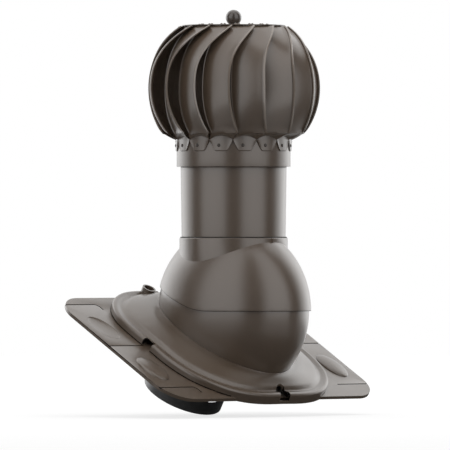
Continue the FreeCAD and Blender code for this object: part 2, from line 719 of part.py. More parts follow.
def make_cowl():
    """Moulded cowl between the plate and the lower shell, with four drain notches."""
    outer = cowl_solid(0.0, 0.0)
    inner = cowl_solid(float(z.cowl_wall), -1.0)
    shell = outer.cut(inner)
    rim = float(z.plate_depth + z.cone_height)
    posts = []
    for spot in cowl_screw_places():
        post = Part.makeCylinder(float(z.post_radius), rim, FreeCAD.Vector(spot.Base.x, spot.Base.y, 0))
        posts.append(post.common(outer))
    socket_along = float(COWL_CENTRE + COWL_HALF - z.socket_inset)
    socket_top = float(z.plate_depth + z.cowl_lip + z.socket_rise)
    socket_place = FreeCAD.Vector(-float(z.socket_across), socket_along, float(z.plate_depth) + 1)
    socket = Part.makeCylinder(float(z.socket_radius), socket_top - socket_place.z, socket_place)
    shell = shell.fuse(posts + [socket])
    depth = float(z.socket_depth)
    bore_place = FreeCAD.Vector(socket_place.x, socket_place.y, socket_top - depth)
    cutters = [Part.makeCylinder(float(z.socket_bore), depth + 1, bore_place)]
    cutters.append(throat())
    cutters.append(plate_seat())
    cutters += notches()
    for spot in cowl_screw_places():
        cutters.append(Part.makeCylinder(float(z.screw_radius), float(z.plate_depth + z.cowl_lip * 0.7),
                                         FreeCAD.Vector(spot.Base.x, spot.Base.y, -1)))
    shape = shell.cut(cutters)
    item = doc.addObject("Part::Feature", "cowl")
    item.Shape = shape
    keep(item, "cowl", PLATE_FRAME)


def throat():
    """The oval opening that the lower shell stands in."""
    grow = float(z.snug_gap) * 2
    half_across, half_along = ellipse_at(z.pivot_height - z.cone_height, shell_half_width, shell_radius, grow)
    prism = ellipse_prism(half_across, half_along, -1, z.plate_depth + z.cone_height + 10)
    prism.translate(FreeCAD.Vector(0, -float(z.duct_offset), 0))
    return prism


def plate_seat():
    """The plate's own outline with a little room, so that the cowl's foot sits on it."""
    room = float(z.snug_gap)
    width = float(z.plate_width) + 2 * room
    length = float(z.plate_length) + 2 * room
    seat = Part.makeBox(width, length, float(z.plate_depth) + 20,
                        FreeCAD.Vector(-width / 2, float(PLATE_CENTRE) - length / 2, -20))
    upright = [edge for edge in seat.Edges if is_upright(edge)]
    return seat.makeFillet(float(z.plate_corner) + room, upright)


def notches():
    """A drain notch in the middle of each side, round at its inner end."""
    half = float(z.notch_width) / 2
    low = float(z.plate_depth)
    high = float(z.cowl_lip + z.cone_height)
    edge = float(COWL_HALF)
    shapes = []
    for quarter, reach, middle in ((0, z.side_notch_reach, PLATE_CENTRE), (1, z.notch_reach, COWL_CENTRE),
                                   (2, z.side_notch_reach, PLATE_CENTRE), (3, z.notch_reach, COWL_CENTRE)):
        start = edge - float(reach) + half
        slot = Part.makeBox(2 * float(reach), 2 * half, high, FreeCAD.Vector(start, -half, low))
        end = Part.makeCylinder(half, high, FreeCAD.Vector(start, 0, low))
        shape = slot.fuse(end).removeSplitter()
        shape.rotate(FreeCAD.Vector(0, 0, 0), VERTICAL, 90 * quarter)
        shape.translate(FreeCAD.Vector(0, float(middle), 0))
        shapes.append(shape)
    return shapes


# Hood and lower shell

def below_line(name, corner, up, slope, reach):
    """A block of all that lies below a bent line in side view: level in front, rising behind."""
    body = new_body(name)
    rise = as_size(math.tan(math.radians(float(slope))))
    sketch = outline(body, name + "_side", "YZ_Plane", [
        (-reach, -reach), (reach, -reach), (reach, up + (reach + corner) * rise), (-corner, up), (-reach, up)])
    pad(body, sketch, name + "_block", 2 * reach, midplane=True)
    return body


def sleeve_bore():
    """Inside radius of the hood's sleeve: the outer pipe and room for its seal."""
    return pipe_radius_at(z.sleeve_top) + z.seal_wall


def make_upper_hood():
    """Hood that turns over the lower shell, with the sleeve round the outer pipe."""
    outer = ellipsoid("hood_outside", z.hood_half_width, z.hood_radius)
    sleeve_low = z.sleeve_top / 2
    sleeve_radius = sleeve_bore() + z.sleeve_wall
    sleeve = place_at(cylinder("hood_sleeve", sleeve_radius, z.sleeve_top - sleeve_low), 0, 0, sleeve_low)
    doc.recompute()
    top = float(z.sleeve_top)
    rims = edges_of(sleeve.Shape, lambda e: e.BoundBox.ZMin > top - 1e-3)
    rounded = doc.addObject("Part::Fillet", "hood_sleeve_rounded")
    rounded.Base = sleeve
    rounded.Edges = [(number, float(z.sleeve_round), float(z.sleeve_round)) for number in rims]
    rib_height = z.sleeve_top - z.hood_radius * 0.7
    rib = place_at(box("hood_rib", z.rib_width, 2 * z.rib_rise, rib_height), -z.rib_width / 2,
                   -sleeve_radius - z.rib_rise, z.sleeve_top - rib_height - z.sleeve_round)
    block = fuse("hood_solid", [outer, rounded, rib])
    inner = ellipsoid("hood_inside", z.hood_half_width - z.hood_wall, z.hood_radius - z.hood_wall)
    bore = place_at(cylinder("hood_bore", sleeve_bore(), z.sleeve_top), 0, 0, sleeve_low)
    edge = below_line("hood_edge", z.seam_corner, as_size(0), z.seam_slope, 2 * z.hood_radius)
    doc.recompute()
    bent = doc.addObject("Part::Fillet", "hood_edge_bent")
    bent.Base = edge
    corner = float(z.seam_corner)
    numbers = edges_of(edge.Shape, lambda e: all(abs(v.Y + corner) < 1e-4 for v in e.Vertexes))
    bent.Edges = [(number, float(z.seam_bend), float(z.seam_bend)) for number in numbers]
    hollow = cut("hood_hollow", block, fuse("hood_room", [inner, bore]))
    keep(cut("hood_trimmed", hollow, bent), "upper_hood", STACK_FRAME)


def make_sleeve_seal():
    """Rubber ring between the outer pipe and the sleeve, with a lip over the sleeve's rim."""
    low = z.sleeve_top - z.seal_depth
    rim = z.sleeve_top + z.snug_gap / 2
    high = rim + z.seal_lip
    outer = sleeve_bore() - z.snug_gap
    lip = sleeve_bore() + z.sleeve_wall - z.sleeve_round
    turned("sleeve_seal", [
        (pipe_radius_at(low) + z.snug_gap, low), (outer, low), (outer, rim), (lip, rim), (lip, high),
        (pipe_radius_at(high) + z.snug_gap, high)], STACK_FRAME)


def make_lower_shell():
    """Fixed lower shell with its foot flange and the two bosses of the pitch pivot."""
    outer = ellipsoid("shell_outside", shell_half_width, shell_radius)
    inner = ellipsoid("shell_inside", shell_half_width - z.shell_wall, shell_radius - z.shell_wall)
    across, along = ellipse_at(foot_depth, shell_half_width, shell_radius, float(z.foot_width))
    foot = doc.addObject("Part::Feature", "shell_foot")
    foot.Shape = ellipse_prism(across, along, -foot_depth, z.foot_thick)
    foot.Placement = FreeCAD.Placement(FreeCAD.Vector(0, 0, 0), turned_about_x(z.roof_pitch))
    reach = 2 * z.hood_radius
    below = box("below_foot", 2 * reach, 2 * reach, reach)
    drop = FreeCAD.Vector(-float(reach), -float(reach), -float(foot_depth + reach))
    below.Placement = FreeCAD.Placement(FreeCAD.Vector(0, 0, 0), turned_about_x(z.roof_pitch)).multiply(
        FreeCAD.Placement(drop, FreeCAD.Rotation()))
    block = fuse("shell_block", [cut("shell_cut_flat", outer, below), foot])
    shell = cut("shell_hollow", block, inner)
    mouth = below_line("shell_mouth", as_size(0), z.mouth_height, z.mouth_slope, reach)
    common = doc.addObject("Part::Common", "shell_open")
    common.Base = shell
    common.Tool = mouth
    boss_from = z.ear_outer + z.fit_gap
    boss_length = shell_half_width - 1.2 - boss_from
    bosses = []
    holes = []
    for side, turn in (("left", -90), ("right", 90)):
        sign = 1 if turn > 0 else -1
        sideways = FreeCAD.Rotation(FreeCAD.Vector(0, 1, 0), turn)
        bosses.append(place_at(cylinder("boss_" + side, z.boss_radius, boss_length), sign * boss_from, 0, 0, sideways))
        pin_end = z.ear_outer + z.pin_length - z.ear_thick
        holes.append(place_at(cylinder("boss_bore_" + side, z.pin_radius + z.pin_gap / 5, pin_end - boss_from),
                              sign * boss_from, 0, 0, sideways))
    body = cut("shell_with_bosses", fuse("shell_joined", [common] + bosses), fuse("boss_bores", holes))
    drills = doc.addObject("Part::Feature", "foot_drillings")
    shapes = []
    to_pivot = FreeCAD.Placement(PIVOT, FreeCAD.Rotation()).inverse().multiply(PLATE_FRAME)
    for spot in foot_screw_places():
        hole = Part.makeCylinder(float(z.screw_radius + z.pin_gap), 30, spot.Base)
        hole.Placement = to_pivot.multiply(hole.Placement)
        shapes.append(hole)
    drills.Shape = Part.makeCompound(shapes)
    keep(cut("lower_shell", body, drills), "lower_shell", STACK_FRAME)


def make_gasket():
    """Flat rubber ring under the lower shell's foot."""
    outer = ellipse_at(foot_depth, shell_half_width, shell_radius, float(z.foot_width))
    inner = ellipse_at(foot_depth, shell_half_width, shell_radius, -float(z.shell_wall))
    ring = ellipse_prism(outer[0], outer[1], z.plate_depth, z.gasket_thick)
    ring = ring.cut(ellipse_prism(inner[0], inner[1], z.plate_depth - 1, z.gasket_thick + 2))
    ring.translate(FreeCAD.Vector(0, -float(z.duct_offset), 0))
    holes = [Part.makeCylinder(float(z.screw_radius + z.snug_gap), 30, spot.Base) for spot in foot_screw_places()]
    item = doc.addObject("Part::Feature", "shell_gasket")
    item.Shape = ring.cut(holes)
    keep(item, "shell_gasket", PLATE_FRAME)


# Duct spigot and the plate's fasteners

def make_spigot():
    """Duct spigot: a tube with a flange on the plate and a latch window in its front wall."""
    flange_top = z.plate_depth + z.spigot_flange_thick
    bore = z.duct_radius - z.spigot_wall
    body = new_body("duct_spigot_blank")
    sketch = outline(body, "spigot_profile", "XZ_Plane", [
        (bore, -z.spigot_length), (z.duct_radius, -z.spigot_length), (z.duct_radius, 0),
        (z.spigot_collar_radius, 0), (z.spigot_collar_radius, z.plate_depth),
        (z.spigot_flange_radius, z.plate_depth), (z.spigot_flange_radius, flange_top), (bore, flange_top)])
    revolve(body, sketch, "spigot_turned")
    hole = circles(body, "spigot_hole_outline", "XY_Plane", [z.screw_radius + z.pin_gap],
                   (spigot_screw_ring * math.cos(math.radians(SPIGOT_SCREW_START)),
                    spigot_screw_ring * math.sin(math.radians(SPIGOT_SCREW_START))))
    drilled = pocket(body, hole, "spigot_hole", 4 * z.plate_depth, midplane=True)
    polar(body, drilled, "spigot_holes", as_size(SPIGOT_SCREWS))
    window = box("spigot_window", z.window_width, z.duct_radius, z.window_height)
    place_at(window, -z.window_width / 2, -z.duct_radius - 5, -z.spigot_length + z.window_foot)
    keep(cut("duct_spigot_open", body, window), "duct_spigot", PLATE_FRAME)


def make_plate_fasteners():
    head_room = float(z.plate_depth - z.plate_skin)
    screw = screw_shape(z.screw_radius, z.plate_depth + 0.8, z.screw_head_radius, z.screw_head_height)
    flange_top = z.plate_depth + z.spigot_flange_thick
    spots = ring_places(spigot_screw_ring, flange_top, SPIGOT_SCREWS, SPIGOT_SCREW_START)
    copies("spigot_screws", screw, spots, PLATE_FRAME)
    foot_top = float(z.plate_depth + z.gasket_thick + z.foot_thick)
    spots = [FreeCAD.Placement(spot.Base + FreeCAD.Vector(0, 0, foot_top), spot.Rotation)
             for spot in foot_screw_places()]
    copies("shell_screws", screw, spots, PLATE_FRAME)
    flip = FreeCAD.Rotation(ACROSS, 180)
    spots = [FreeCAD.Placement(spot.Base + FreeCAD.Vector(0, 0, head_room), flip) for spot in cowl_screw_places()]
    long_screw = screw_shape(z.screw_radius - z.pin_gap, z.cowl_lip * 0.7, z.screw_head_radius, z.screw_head_height)
    copies("cowl_screws", long_screw, spots, PLATE_FRAME)


# Pipes, rings and yoke of the stack

def pipe_radius_at(height):
    """Outside radius of the tapered outer pipe at a height over the pivot."""
    share = (height - z.pipe_foot) / (z.pipe_top - z.pipe_foot)
    return z.pipe_foot_radius + (z.pipe_top_radius - z.pipe_foot_radius) * share


def make_pipes():
    body = new_body("outer_pipe_blank")
    sketch = outline(body, "outer_pipe_profile", "XZ_Plane", [
        (z.pipe_foot_radius - z.pipe_wall, z.pipe_foot), (z.pipe_foot_radius, z.pipe_foot),
        (z.pipe_top_radius, z.pipe_top), (z.pipe_top_radius - z.pipe_wall, z.pipe_top)])
    revolve(body, sketch, "outer_pipe_turned")
    holes = doc.addObject("Part::Feature", "outer_pipe_drillings")
    holes.Shape = yoke_drillings(z.small_screw_radius + z.pin_gap)
    keep(cut("outer_pipe_drilled", body, holes), "outer_pipe", STACK_FRAME)
    inner_top = z.cap_ring_low + z.cap_ring_thick - z.snug_gap
    turned("inner_pipe", ring_profile(z.duct_radius - z.inner_wall, z.duct_radius, -z.inner_drop, inner_top),
           STACK_FRAME)
    wool_low = z.yoke_low + z.yoke_height + z.fit_gap
    wool_radius = pipe_radius_at(wool_low) - z.pipe_wall - z.fit_gap
    turned("insulation_sleeve", ring_profile(z.duct_radius + z.fit_gap, wool_radius, wool_low,
                                             z.cap_ring_low - z.fit_gap), STACK_FRAME)
    ring_radius = pipe_radius_at(z.cap_ring_low) - z.pipe_wall - z.snug_gap
    body = new_body("upper_ring")
    sketch = outline(body, "upper_ring_profile", "XZ_Plane", ring_profile(
        z.duct_radius + z.snug_gap, ring_radius, z.cap_ring_low, z.cap_ring_low + z.cap_ring_thick))
    revolve(body, sketch, "upper_ring_turned")
    hole = circles(body, "upper_ring_hole_outline", "XY_Plane", [z.small_screw_radius + z.pin_gap],
                   (spider_screw_ring, as_size(0)))
    drilled = pocket(body, hole, "upper_ring_hole", 2 * z.pipe_top, midplane=True)
    polar(body, drilled, "upper_ring_holes", as_size(SPIDER_ARMS))
    keep(body, "upper_ring", STACK_FRAME)


SPIDER_ARMS = 3
YOKE_SCREWS = 4
YOKE_SCREW_START = 45.0
spider_screw_ring = (z.spider_reach + z.duct_radius) / 2


def make_pivot_yoke():
    """Ring round the inner pipe whose two ears hang on the pivot pins."""
    ring_radius = pipe_radius_at(z.yoke_low) - z.pipe_wall - z.snug_gap
    body = new_body("pivot_yoke_blank")
    sketch = outline(body, "yoke_profile", "XZ_Plane", ring_profile(
        z.duct_radius + z.snug_gap, ring_radius, z.yoke_low, z.yoke_low + z.yoke_height))
    revolve(body, sketch, "yoke_ring")
    ears = []
    ears.append(body)
    for side, sign in (("left", -1), ("right", 1)):
        start = z.ear_outer - z.ear_thick if sign > 0 else -z.ear_outer
        plate = box("ear_" + side, z.ear_thick, z.ear_width, z.yoke_low + z.yoke_height / 2)
        ears.append(place_at(plate, start, -z.ear_width / 2, 0))
        sideways = FreeCAD.Rotation(FreeCAD.Vector(0, 1, 0), 90)
        eye = cylinder("ear_eye_" + side, z.ear_width / 2, z.ear_thick)
        ears.append(place_at(eye, start, 0, 0, sideways))
    joined = fuse("yoke_joined", ears)
    sideways = FreeCAD.Rotation(FreeCAD.Vector(0, 1, 0), 90)
    bore = cylinder("yoke_bore", z.pin_radius + z.pin_gap, 4 * z.ear_outer)
    place_at(bore, -2 * z.ear_outer, 0, 0, sideways)
    screws = doc.addObject("Part::Feature", "yoke_drillings")
    screws.Shape = yoke_drillings(z.small_screw_radius)
    keep(cut("pivot_yoke_drilled", joined, fuse("yoke_cuts", [bore, screws])), "pivot_yoke", STACK_FRAME)


def yoke_drillings(radius):
    """Radial holes for the yoke's screws, through the outer pipe and into the ring."""
    height = z.yoke_low + z.yoke_height / 2
    depth = float(z.yoke_screw_length)
    drill = Part.makeCylinder(float(radius), 2 * depth, FreeCAD.Vector(0, 0, -depth))
    return Part.makeCompound(placed_copies(drill, radial_places(
        pipe_radius_at(height), height, YOKE_SCREWS, YOKE_SCREW_START)))


def placed_copies(shape, spots):
    shapes = []
    for spot in spots:
        piece = shape.copy()
        piece.Placement = spot.multiply(piece.Placement)
        shapes.append(piece)
    return shapes


def make_pivot_pins():
    """Headed pins that screw through the ears into the lower shell's bosses."""
    pin = screw_shape(z.pin_radius, z.pin_length, z.pin_head_radius, z.pin_head_thick)
    spots = []
    for sign in (-1, 1):
        lie = FreeCAD.Rotation(FreeCAD.Vector(0, 1, 0), -90 * sign)
        inner = float(z.ear_outer - z.ear_thick - z.fit_gap)
        spots.append(FreeCAD.Placement(FreeCAD.Vector(sign * inner, 0, 0), lie))
    copies("pivot_pins", pin, spots, STACK_FRAME)


def make_yoke_screws():
    height = z.yoke_low + z.yoke_height / 2
    screw = screw_shape(z.small_screw_radius - z.pin_gap, z.yoke_screw_length, z.small_head_radius,
                        z.small_head_height)
    spots = radial_places(pipe_radius_at(height) + z.snug_gap, height, YOKE_SCREWS, YOKE_SCREW_START)
    copies("yoke_screws", screw, spots, STACK_FRAME)


# Fixed axle and its bearings

def spider_arms(name, count, width, thick, low, reach):
    """Flat arms from the centre outward, as blocks to fuse to a hub."""
    arms = []
    for index in range(count):
        arm = box("%s_%d" % (name, index + 1), reach, width, thick)
        spin = FreeCAD.Rotation(VERTICAL, 360.0 * index / count)
        shift = spin.multVec(FreeCAD.Vector(0, -float(width) / 2, 0))
        arm.Placement = FreeCAD.Placement(shift + FreeCAD.Vector(0, 0, float(low)), spin)
        arms.append(arm)
    return arms


def make_axle_spider():
    """Three flat arms over the pipe's mouth that carry the fixed axle."""
    low = z.cap_ring_low + z.cap_ring_thick
    hub = cylinder("axle_hub", z.spider_hub_radius, z.arm_thick + z.spider_hub_height)
    place_at(hub, 0, 0, low - z.spider_hub_height / 2)
    arms = spider_arms("axle_arm", SPIDER_ARMS, z.arm_width, z.arm_thick, low, z.spider_reach)
    body = fuse("axle_spider_joined", arms + [hub])
    bore = place_at(cylinder("axle_hub_bore", z.axle_seat_radius + z.pin_gap, z.pipe_top), 0, 0, low - z.pipe_top / 2)
    holes = doc.addObject("Part::Feature", "axle_spider_drillings")
    depth = float(z.arm_thick)
    drill = Part.makeCylinder(float(z.small_screw_radius + z.pin_gap), 3 * depth, FreeCAD.Vector(0, 0, -depth))
    holes.Shape = Part.makeCompound(placed_copies(drill, ring_places(spider_screw_ring, low, SPIDER_ARMS)))
    keep(cut("axle_spider_bored", body, fuse("axle_spider_cuts", [bore, holes])), "axle_spider", STACK_FRAME)
    screw = screw_shape(z.small_screw_radius, z.arm_thick + z.cap_ring_thick - z.snug_gap, z.small_head_radius,
                        z.small_head_height)
    copies("spider_screws", screw, ring_places(spider_screw_ring, low + z.arm_thick, SPIDER_ARMS), STACK_FRAME)


def spider_hub_low():
    return z.cap_ring_low + z.cap_ring_thick - z.spider_hub_height / 2


def spider_hub_high():
    return spider_hub_low() + z.arm_thick + z.spider_hub_height


def make_axle():
    """Fixed axle: two bearing seats, and a thicker middle that the lower race stands against."""
    lower_seat_top = z.lower_bearing_low + z.bearing_width
    turned("axle", [
        (0, z.axle_foot), (z.axle_seat_radius, z.axle_foot), (z.axle_seat_radius, lower_seat_top),
        (z.axle_radius, lower_seat_top), (z.axle_radius, z.upper_bearing_low),
        (z.axle_seat_radius, z.upper_bearing_low), (z.axle_seat_radius, z.axle_top), (0, z.axle_top)], STACK_FRAME)
    hole = z.axle_seat_radius + z.pin_gap
    turned("axle_spacer", ring_profile(hole, z.race_split - 0.2, spider_hub_high(), z.lower_bearing_low),
           STACK_FRAME)
    washer_low = spider_hub_low() - z.washer_thick
    turned("axle_washer", ring_profile(hole, z.washer_radius, washer_low, spider_hub_low()), STACK_FRAME)
    hex_nut("axle_nut", washer_low - z.nut_height, z.nut_height, hole)
    hex_nut("axle_locknut", z.upper_bearing_low + z.bearing_width, z.locknut_height, hole)


def hex_nut(label, low, height, hole):
    """A hexagon nut round the axle."""
    body = new_body(label)
    corner = z.nut_flats / 2 / math.cos(math.radians(30))
    corners = [(corner * math.cos(math.radians(60 * i)), corner * math.sin(math.radians(60 * i))) for i in range(6)]
    pad(body, outline(body, label + "_hexagon", "XY_Plane", corners), label + "_pad", height, offset=low)
    bore = circles(body, label + "_bore_outline", "XY_Plane", [hole])
    pocket(body, bore, label + "_bore", 4 * z.axle_top, midplane=True)
    keep(body, label, STACK_FRAME)


def make_bearings():
    """Two sealed ball bearings, each as its inner ring and its outer ring with seals."""
    for level, low in (("lower", z.lower_bearing_low), ("upper", z.upper_bearing_low)):
        high = low + z.bearing_width
        turned(level + "_bearing_inner", ring_profile(z.axle_seat_radius + z.pin_gap / 5, z.race_split, low, high),
               STACK_FRAME)
        turned(level + "_bearing_outer", ring_profile(z.race_split + z.pin_gap, z.bearing_radius, low, high),
               STACK_FRAME)


# Rotor

def rotor_radius_at(height):
    """Radius of the blades' outer edge at a height over the pivot."""
    offset = height - float(z.belly_height)
    half = float(z.crown_half if offset > 0 else z.skirt_half)
    return float(z.rotor_radius) * math.sqrt(1 - (offset / half) ** 2)


def edge_turn_at(height):
    """How far the outer edge has turned from its place at the widest height."""
    offset = height - float(z.belly_height)
    if offset > 0:
        return float(z.crown_twist) * (offset / float(z.disc_low - z.belly_height)) ** 3.2
    return float(z.skirt_twist) * (-offset / float(z.belly_height - z.blade_bottom)) ** 2.3


def polar_point(radius, angle, height):
    turn = math.radians(angle)
    return FreeCAD.Vector(radius * math.cos(turn), radius * math.sin(turn), height)


def blade_section(height, outer_radius, outer_turn, inner_radius, inner_turn, lip, thick):
    """One level section through a blade: the curved panel and its flared outer lip."""
    lip_rise, lip_turn = lip
    lip_foot = outer_radius - lip_rise
    front = []
    back = []
    steps = 4
    for step in range(steps + 1):
        share = step / steps
        radius = inner_radius + (lip_foot - inner_radius) * share
        angle = inner_turn + (outer_turn - lip_turn - inner_turn) * share
        front.append(polar_point(radius, angle, height))
        back.append(polar_point(radius - thick, angle, height))
    tip_front = polar_point(outer_radius, outer_turn, height)
    tip_back = polar_point(outer_radius - thick, outer_turn + 0.2, height)
    panel_front = Part.BSplineCurve()
    panel_front.interpolate(Points=front)
    panel_back = Part.BSplineCurve()
    panel_back.interpolate(Points=back[::-1])
    edges = [
        panel_front.toShape(),
        Part.makeLine(front[-1], tip_front),
        Part.makeLine(tip_front, tip_back),
        Part.makeLine(tip_back, back[-1]),
        panel_back.toShape(),
        Part.makeLine(back[0], front[0]),
    ]
    return Part.Wire(edges)


def blade_shape():
    """One blade with its top tab and riveted lower tab, its outer edge at angle 0 where widest."""
    thick = float(z.blade_thick)
    rise = float(z.lip_rise)
    run = float(z.lip_run)
    bottom = float(z.blade_bottom)
    top = float(z.disc_low - z.snug_gap)
    wires = []
    for level in range(BLADE_LEVELS + 1):
        height = bottom + (top - bottom) * level / BLADE_LEVELS
        radius = rotor_radius_at(height)
        twist = edge_turn_at(height)
        follow = 0.5 if height > float(z.belly_height) else 1.0
        slope = (rotor_radius_at(height - 1) - rotor_radius_at(height + 1)) / 2
        across = thick * math.sqrt(1 + slope * slope)
        wires.append(blade_section(height, radius, twist, float(z.blade_inner) * radius,
                                   follow * twist - float(z.blade_span), (rise, math.degrees(run / radius)), across))
    panel = Part.makeLoft(wires, True, False)
    pan = blade_pan(thick)
    lower_tab = lower_tab_shape(thick)
    top_tab = top_tab_shape(thick, top)
    return panel.fuse([pan, lower_tab, top_tab]).removeSplitter()


def blade_pan(thick):
    """The sloping bottom of a blade, from its lower corner in to the fold at the collar."""
    bottom = float(z.blade_bottom)
    fold = float(z.tab_top)
    wide = rotor_radius_at(bottom)
    inset = thick / 8
    fold_radius = float(z.ring_radius + z.pin_gap) + thick - inset
    slope = (wide - fold_radius) / (bottom - fold)
    across = thick * math.sqrt(1 + slope * slope)
    lead = float(z.tab_lead) - 0.4
    trail = float(z.tab_lead) - float(z.tab_span) + 0.4
    levels = []
    for share in (0.0, 1.0):
        height = bottom + (fold - 1 - bottom) * share
        radius = wide + (fold_radius - wide) * share
        twist = float(z.skirt_twist) * (1 - share) + lead * share
        inner = float(z.blade_inner) * wide * (1 - share) + fold_radius * share
        inner_turn = (float(z.skirt_twist) - float(z.blade_span)) * (1 - share) + trail * share
        rise = float(z.lip_rise) * (1 - share)
        run = math.degrees(float(z.lip_run) / wide)
        deep = across * (1 - share) + (thick - 2 * inset) * share
        levels.append(blade_section(height, radius, twist, inner, inner_turn, (rise, run), deep))
    return Part.makeLoft(levels, True, True)


def lower_tab_shape(thick):
    """Petal that lies on the collar ring, rounded below, with its rivet hole."""
    inner = float(z.ring_radius + z.pin_gap)
    low = float(z.tab_bottom)
    high = float(z.tab_top) + 0.4
    centre_turn = float(z.tab_lead) - float(z.tab_span) / 2
    shell = Part.makeCylinder(inner + thick, high - low, FreeCAD.Vector(0, 0, low))
    shell = shell.cut(Part.makeCylinder(inner, high - low + 2, FreeCAD.Vector(0, 0, low - 1)))
    half = (inner + thick) * math.sin(math.radians(float(z.tab_span) / 2))
    shoulder = float(z.tab_top) - 4
    foot = half * 0.42
    corners = [(-half, high + 1), (-half, shoulder), (-half * 0.86, low + 8), (-foot - 3, low + 1.6), (-foot, low - 0.01),
               (foot, low - 0.01), (foot + 3, low + 1.6), (half * 0.86, low + 8), (half, shoulder), (half, high + 1)]
    points = [FreeCAD.Vector(0, across, up) for across, up in corners]
    petal = Part.Face(Part.makePolygon(points + points[:1])).extrude(FreeCAD.Vector(inner + 20, 0, 0))
    tab = shell.common(petal)
    reach = 3 * thick
    hole = Part.makeCylinder(float(z.rivet_radius + z.pin_gap), 2 * reach,
                             FreeCAD.Vector(inner - reach, 0, float(z.tab_rivet_height)), ACROSS)
    tab = tab.cut(hole)
    tab.rotate(FreeCAD.Vector(0, 0, 0), VERTICAL, centre_turn)
    return tab


def top_tab_shape(thick, top):
    """Flat tab under the top disc, with two rivet holes."""
    width = float(z.top_tab_width)
    inner = float(z.top_tab_inner)
    outer = float(z.blade_inner) * rotor_radius_at(top) + 1.5
    tab = Part.makeBox(outer - inner, width, thick, FreeCAD.Vector(inner, -width / 2, top - thick))
    for side in (-1, 1):
        spot = FreeCAD.Vector(float(z.top_rivet_ring), side * float(z.top_rivet_pair) / 2, top - 5)
        tab = tab.cut(Part.makeCylinder(float(z.top_rivet_radius + z.pin_gap), 10, spot))
    tab.rotate(FreeCAD.Vector(0, 0, 0), VERTICAL, float(z.top_tab_turn))
    return tab


def make_blades():
    """Fifteen like blades, each in a sub-part of its own."""
    shape = blade_shape()
    count = int(float(z.blade_count))
    for index in range(count):
        label = "blade_%02d" % (index + 1)
        item = doc.addObject("Part::Feature", label)
        item.Shape = shape
        spin = FreeCAD.Rotation(VERTICAL, float(z.blade_turn) + 360.0 * index / count)
        keep(item, label, FreeCAD.Placement(PIVOT, spin))


def collar_rivet_places(radius):
    start = float(z.blade_turn + z.tab_lead - z.tab_span / 2)
    return radial_places(radius, z.tab_rivet_height, float(z.blade_count), start)


def make_collar():
    """Ring that the blades are riveted to, which runs clear round the outer pipe's top."""
    profile = ring_profile(z.ring_radius - z.ring_wall, z.ring_radius, z.ring_bottom, z.ring_top)
    drilled_ring("collar_ring", profile, z.rivet_radius + z.pin_gap)


def drilled_ring(label, profile, hole_radius, extra=None):
    """A turned ring with a radial hole at each blade's lower rivet."""
    body = new_body(label + "_blank")
    sketch = outline(body, label + "_profile", "XZ_Plane", profile)
    revolve(body, sketch, label + "_turned")
    base = body
    if extra:
        base = fuse(label + "_joined", [body] + extra)
    holes = doc.addObject("Part::Feature", label + "_drillings")
    drill = Part.makeCylinder(float(hole_radius), 16, FreeCAD.Vector(0, 0, -8))
    holes.Shape = Part.makeCompound(placed_copies(drill, collar_rivet_places(z.ring_radius)))
    return keep(cut(label + "_drilled", base, holes), label, STACK_FRAME)


def make_lower_rotor_spider():
    """Band inside the collar with three arms to the hub of the lower bearing."""
    outer = z.ring_radius - z.ring_wall - z.snug_gap
    hub_low = z.lower_bearing_low
    shoulder = z.lower_bearing_low + z.bearing_width
    hub_body = new_body("rotor_hub")
    sketch = outline(hub_body, "rotor_hub_profile", "XZ_Plane", [
        (z.bearing_radius + z.pin_gap / 5, hub_low), (z.rotor_hub_radius, hub_low),
        (z.rotor_hub_radius, shoulder + z.arm_thick), (z.bearing_radius - z.arm_thick / 2, shoulder + z.arm_thick),
        (z.bearing_radius - z.arm_thick / 2, shoulder), (z.bearing_radius + z.pin_gap / 5, shoulder)])
    revolve(hub_body, sketch, "rotor_hub_turned")
    reach = outer - z.band_wall / 2
    arms = spider_arms("rotor_arm", SPIDER_ARMS, z.arm_width, z.arm_thick * 0.8, z.band_low, reach)
    core = place_at(cylinder("rotor_arm_core", z.bearing_radius + 1, z.pipe_top), 0, 0, z.band_low - z.pipe_top / 2)
    arms_open = cut("rotor_arms_open", fuse("rotor_arms", arms), core)
    drilled_ring("lower_rotor_spider", ring_profile(outer - z.band_wall, outer, z.band_low, z.band_high),
                 z.rivet_radius + z.pin_gap, [hub_body, arms_open])


def make_collar_rivets():
    """Rivets through the tabs, the collar and the spider's band."""
    outside = z.ring_radius + z.pin_gap + z.blade_thick
    band_inside = z.ring_radius - z.ring_wall - z.snug_gap - z.band_wall
    rivet = screw_shape(z.rivet_radius, outside - band_inside, z.rivet_head_radius, z.rivet_head_height)
    tail = Part.makeCylinder(float(z.rivet_head_radius) * 0.8, float(z.rivet_head_height) * 0.6,
                             FreeCAD.Vector(0, 0, -float(outside - band_inside) - float(z.rivet_head_height) * 0.6 - 0.25))
    link = Part.makeCylinder(float(z.rivet_radius), 0.6, FreeCAD.Vector(0, 0, -float(outside - band_inside) - 0.5))
    rivet = rivet.fuse([tail, link]).removeSplitter()
    copies("collar_rivets", rivet, collar_rivet_places(outside + z.snug_gap / 2), STACK_FRAME)


def top_rivet_places(height):
    """Two rivets side by side on each blade's top tab."""
    count = int(float(z.blade_count))
    half = float(z.top_rivet_pair) / 2
    spots = []
    for index in range(count):
        spin = FreeCAD.Rotation(VERTICAL, float(z.blade_turn + z.top_tab_turn) + 360.0 * index / count)
        for side in (-half, half):
            spot = spin.multVec(FreeCAD.Vector(float(z.top_rivet_ring), side, float(height)))
            spots.append(FreeCAD.Placement(spot, spin))
    return spots


